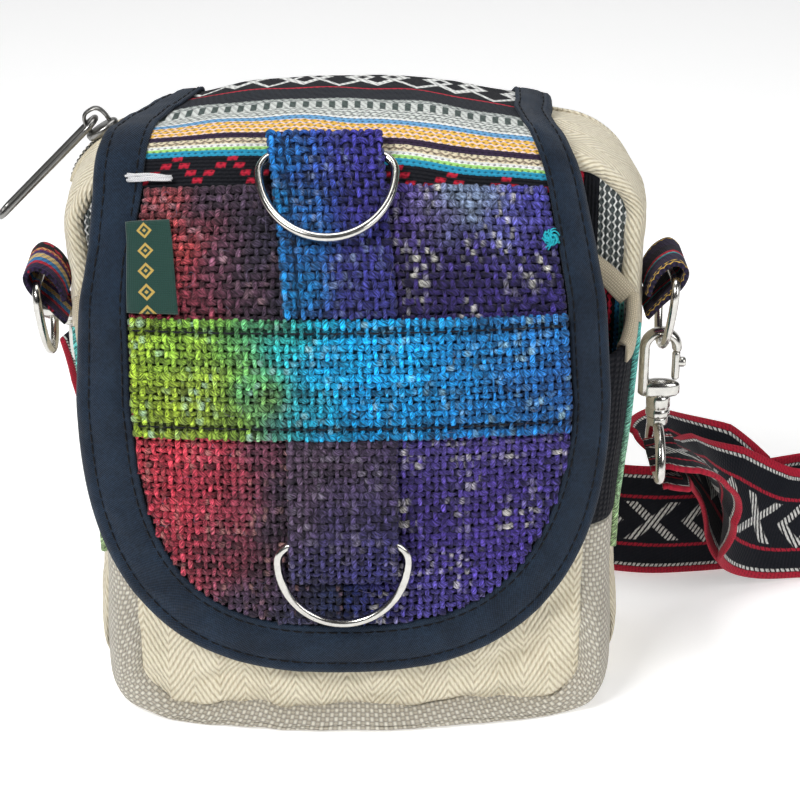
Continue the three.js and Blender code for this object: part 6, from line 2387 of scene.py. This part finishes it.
    def hooks(self, finish: Material) -> None:
        """Right hook with its moving gate, and the plain left hook swung back.

        Args:
            finish: Finish of the hooks.
        """
        for name, shape, body in (("body", self.claw(), BODY), ("eye", self.eye(), BODY),
                                  ("gate", self.gate(), "hook_right_gate")):
            put(f"snap_hook_{name}", moved(shape, np.eye(3), self.right_hook), finish,
                f"hook_right_{name}", body)
        p, w = np.radians(self.left_pitch), np.radians(self.left_yaw)
        pitch = np.array([[1, 0, 0], [0, np.cos(p), -np.sin(p)], [0, np.sin(p), np.cos(p)]])
        yaw = np.array([[np.cos(w), -np.sin(w), 0], [np.sin(w), np.cos(w), 0], [0, 0, 1]])
        whole = merge([self.claw(), self.eye(), self.gate()])
        put("snap_hook_left", moved(whole, (yaw @ pitch).T, self.left_hook), finish, "hook_left")

    def zip_pull(self) -> None:
        """Zip slider with its bail, and the long wire puller on its own body."""
        along = self.main.zip_start() + self.slider_at
        before, seat = self.main.gusset_point(np.array([along - 1, along]), self.main.zip_y, 0.0)
        way = unit(seat - before)
        off = np.array([way[2], 0, -way[0]])
        zinc = Metal("dark_zinc", (150, 149, 146), 0.32).make()
        body = lathe(((2.8, 0.8), (4.6, 1.0), (5.0, 1.5), (5.0, 2.5), (4.6, 3.0), (3.4, 3.2)), 28,
                     (1.0, 0.76))
        a = np.linspace(np.pi, 0, 16)
        bail = stacked(3.2 * np.cos(a) * np.abs(np.cos(a)) ** -0.3, 0, 2.8 + 5.6 * np.sin(a) ** 0.6)
        bridge = oval_bar(bail, np.full(16, 0.8), 0.7, 1.6, 10)
        slider = moved(merge([body, bridge]), [way, [0, 1, 0], off], seat)
        put("zip_slider_body", slider, zinc, "zip_slider")
        pin = seat + off * 5.6
        turn = np.radians(self.puller_turn)
        a, b = np.linspace(0, np.pi, 14), np.linspace(np.pi, 2 * np.pi, 14)
        bow, reach = 3.6, 36.4
        across, up = np.vstack([stacked(bow * np.cos(a), bow * np.sin(a) - bow),
                                stacked(bow * np.cos(b), bow * np.sin(b) - reach)]).T
        path = np.stack([pin[0] - up * np.cos(turn), self.main.zip_y + across, pin[2] - up * np.sin(turn)], 1)
        put("zip_puller_wire", wire(path, (-np.sin(turn), 0, np.cos(turn)), 0.9, 12, True), zinc,
            "zip_puller", "zip_puller")

    def build(self) -> None:
        """Makes every metal piece and the side tabs."""
        nickel = Metal("bright_nickel", (222, 220, 214), 0.2).make()
        self.d_ring("d_ring_upper", (78.0, 4.4), 13.0, -3.0, nickel)
        self.d_ring("d_ring_lower", (184.0, 6.2), 0.0, 0.0, nickel)
        self.sides(nickel)
        self.hooks(nickel)
        self.zip_pull()


def write_sizes() -> None:
    """Updates the view layer."""
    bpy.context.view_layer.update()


def main() -> None:
    """Builds the studio and every part of the bag in order."""
    logging.basicConfig(level=logging.INFO, format="%(name)s: %(message)s")
    Studio().build()
    Strap().build()
    flap = Flap()
    flap.build()
    cream = HerringboneHemp("cream_hemp").make()
    body = MainBody()
    body.build(cream)
    Pocket().build(cream)
    Hardware(body, flap.map).build()
    write_sizes()


if __name__ == "__main__":
    main()
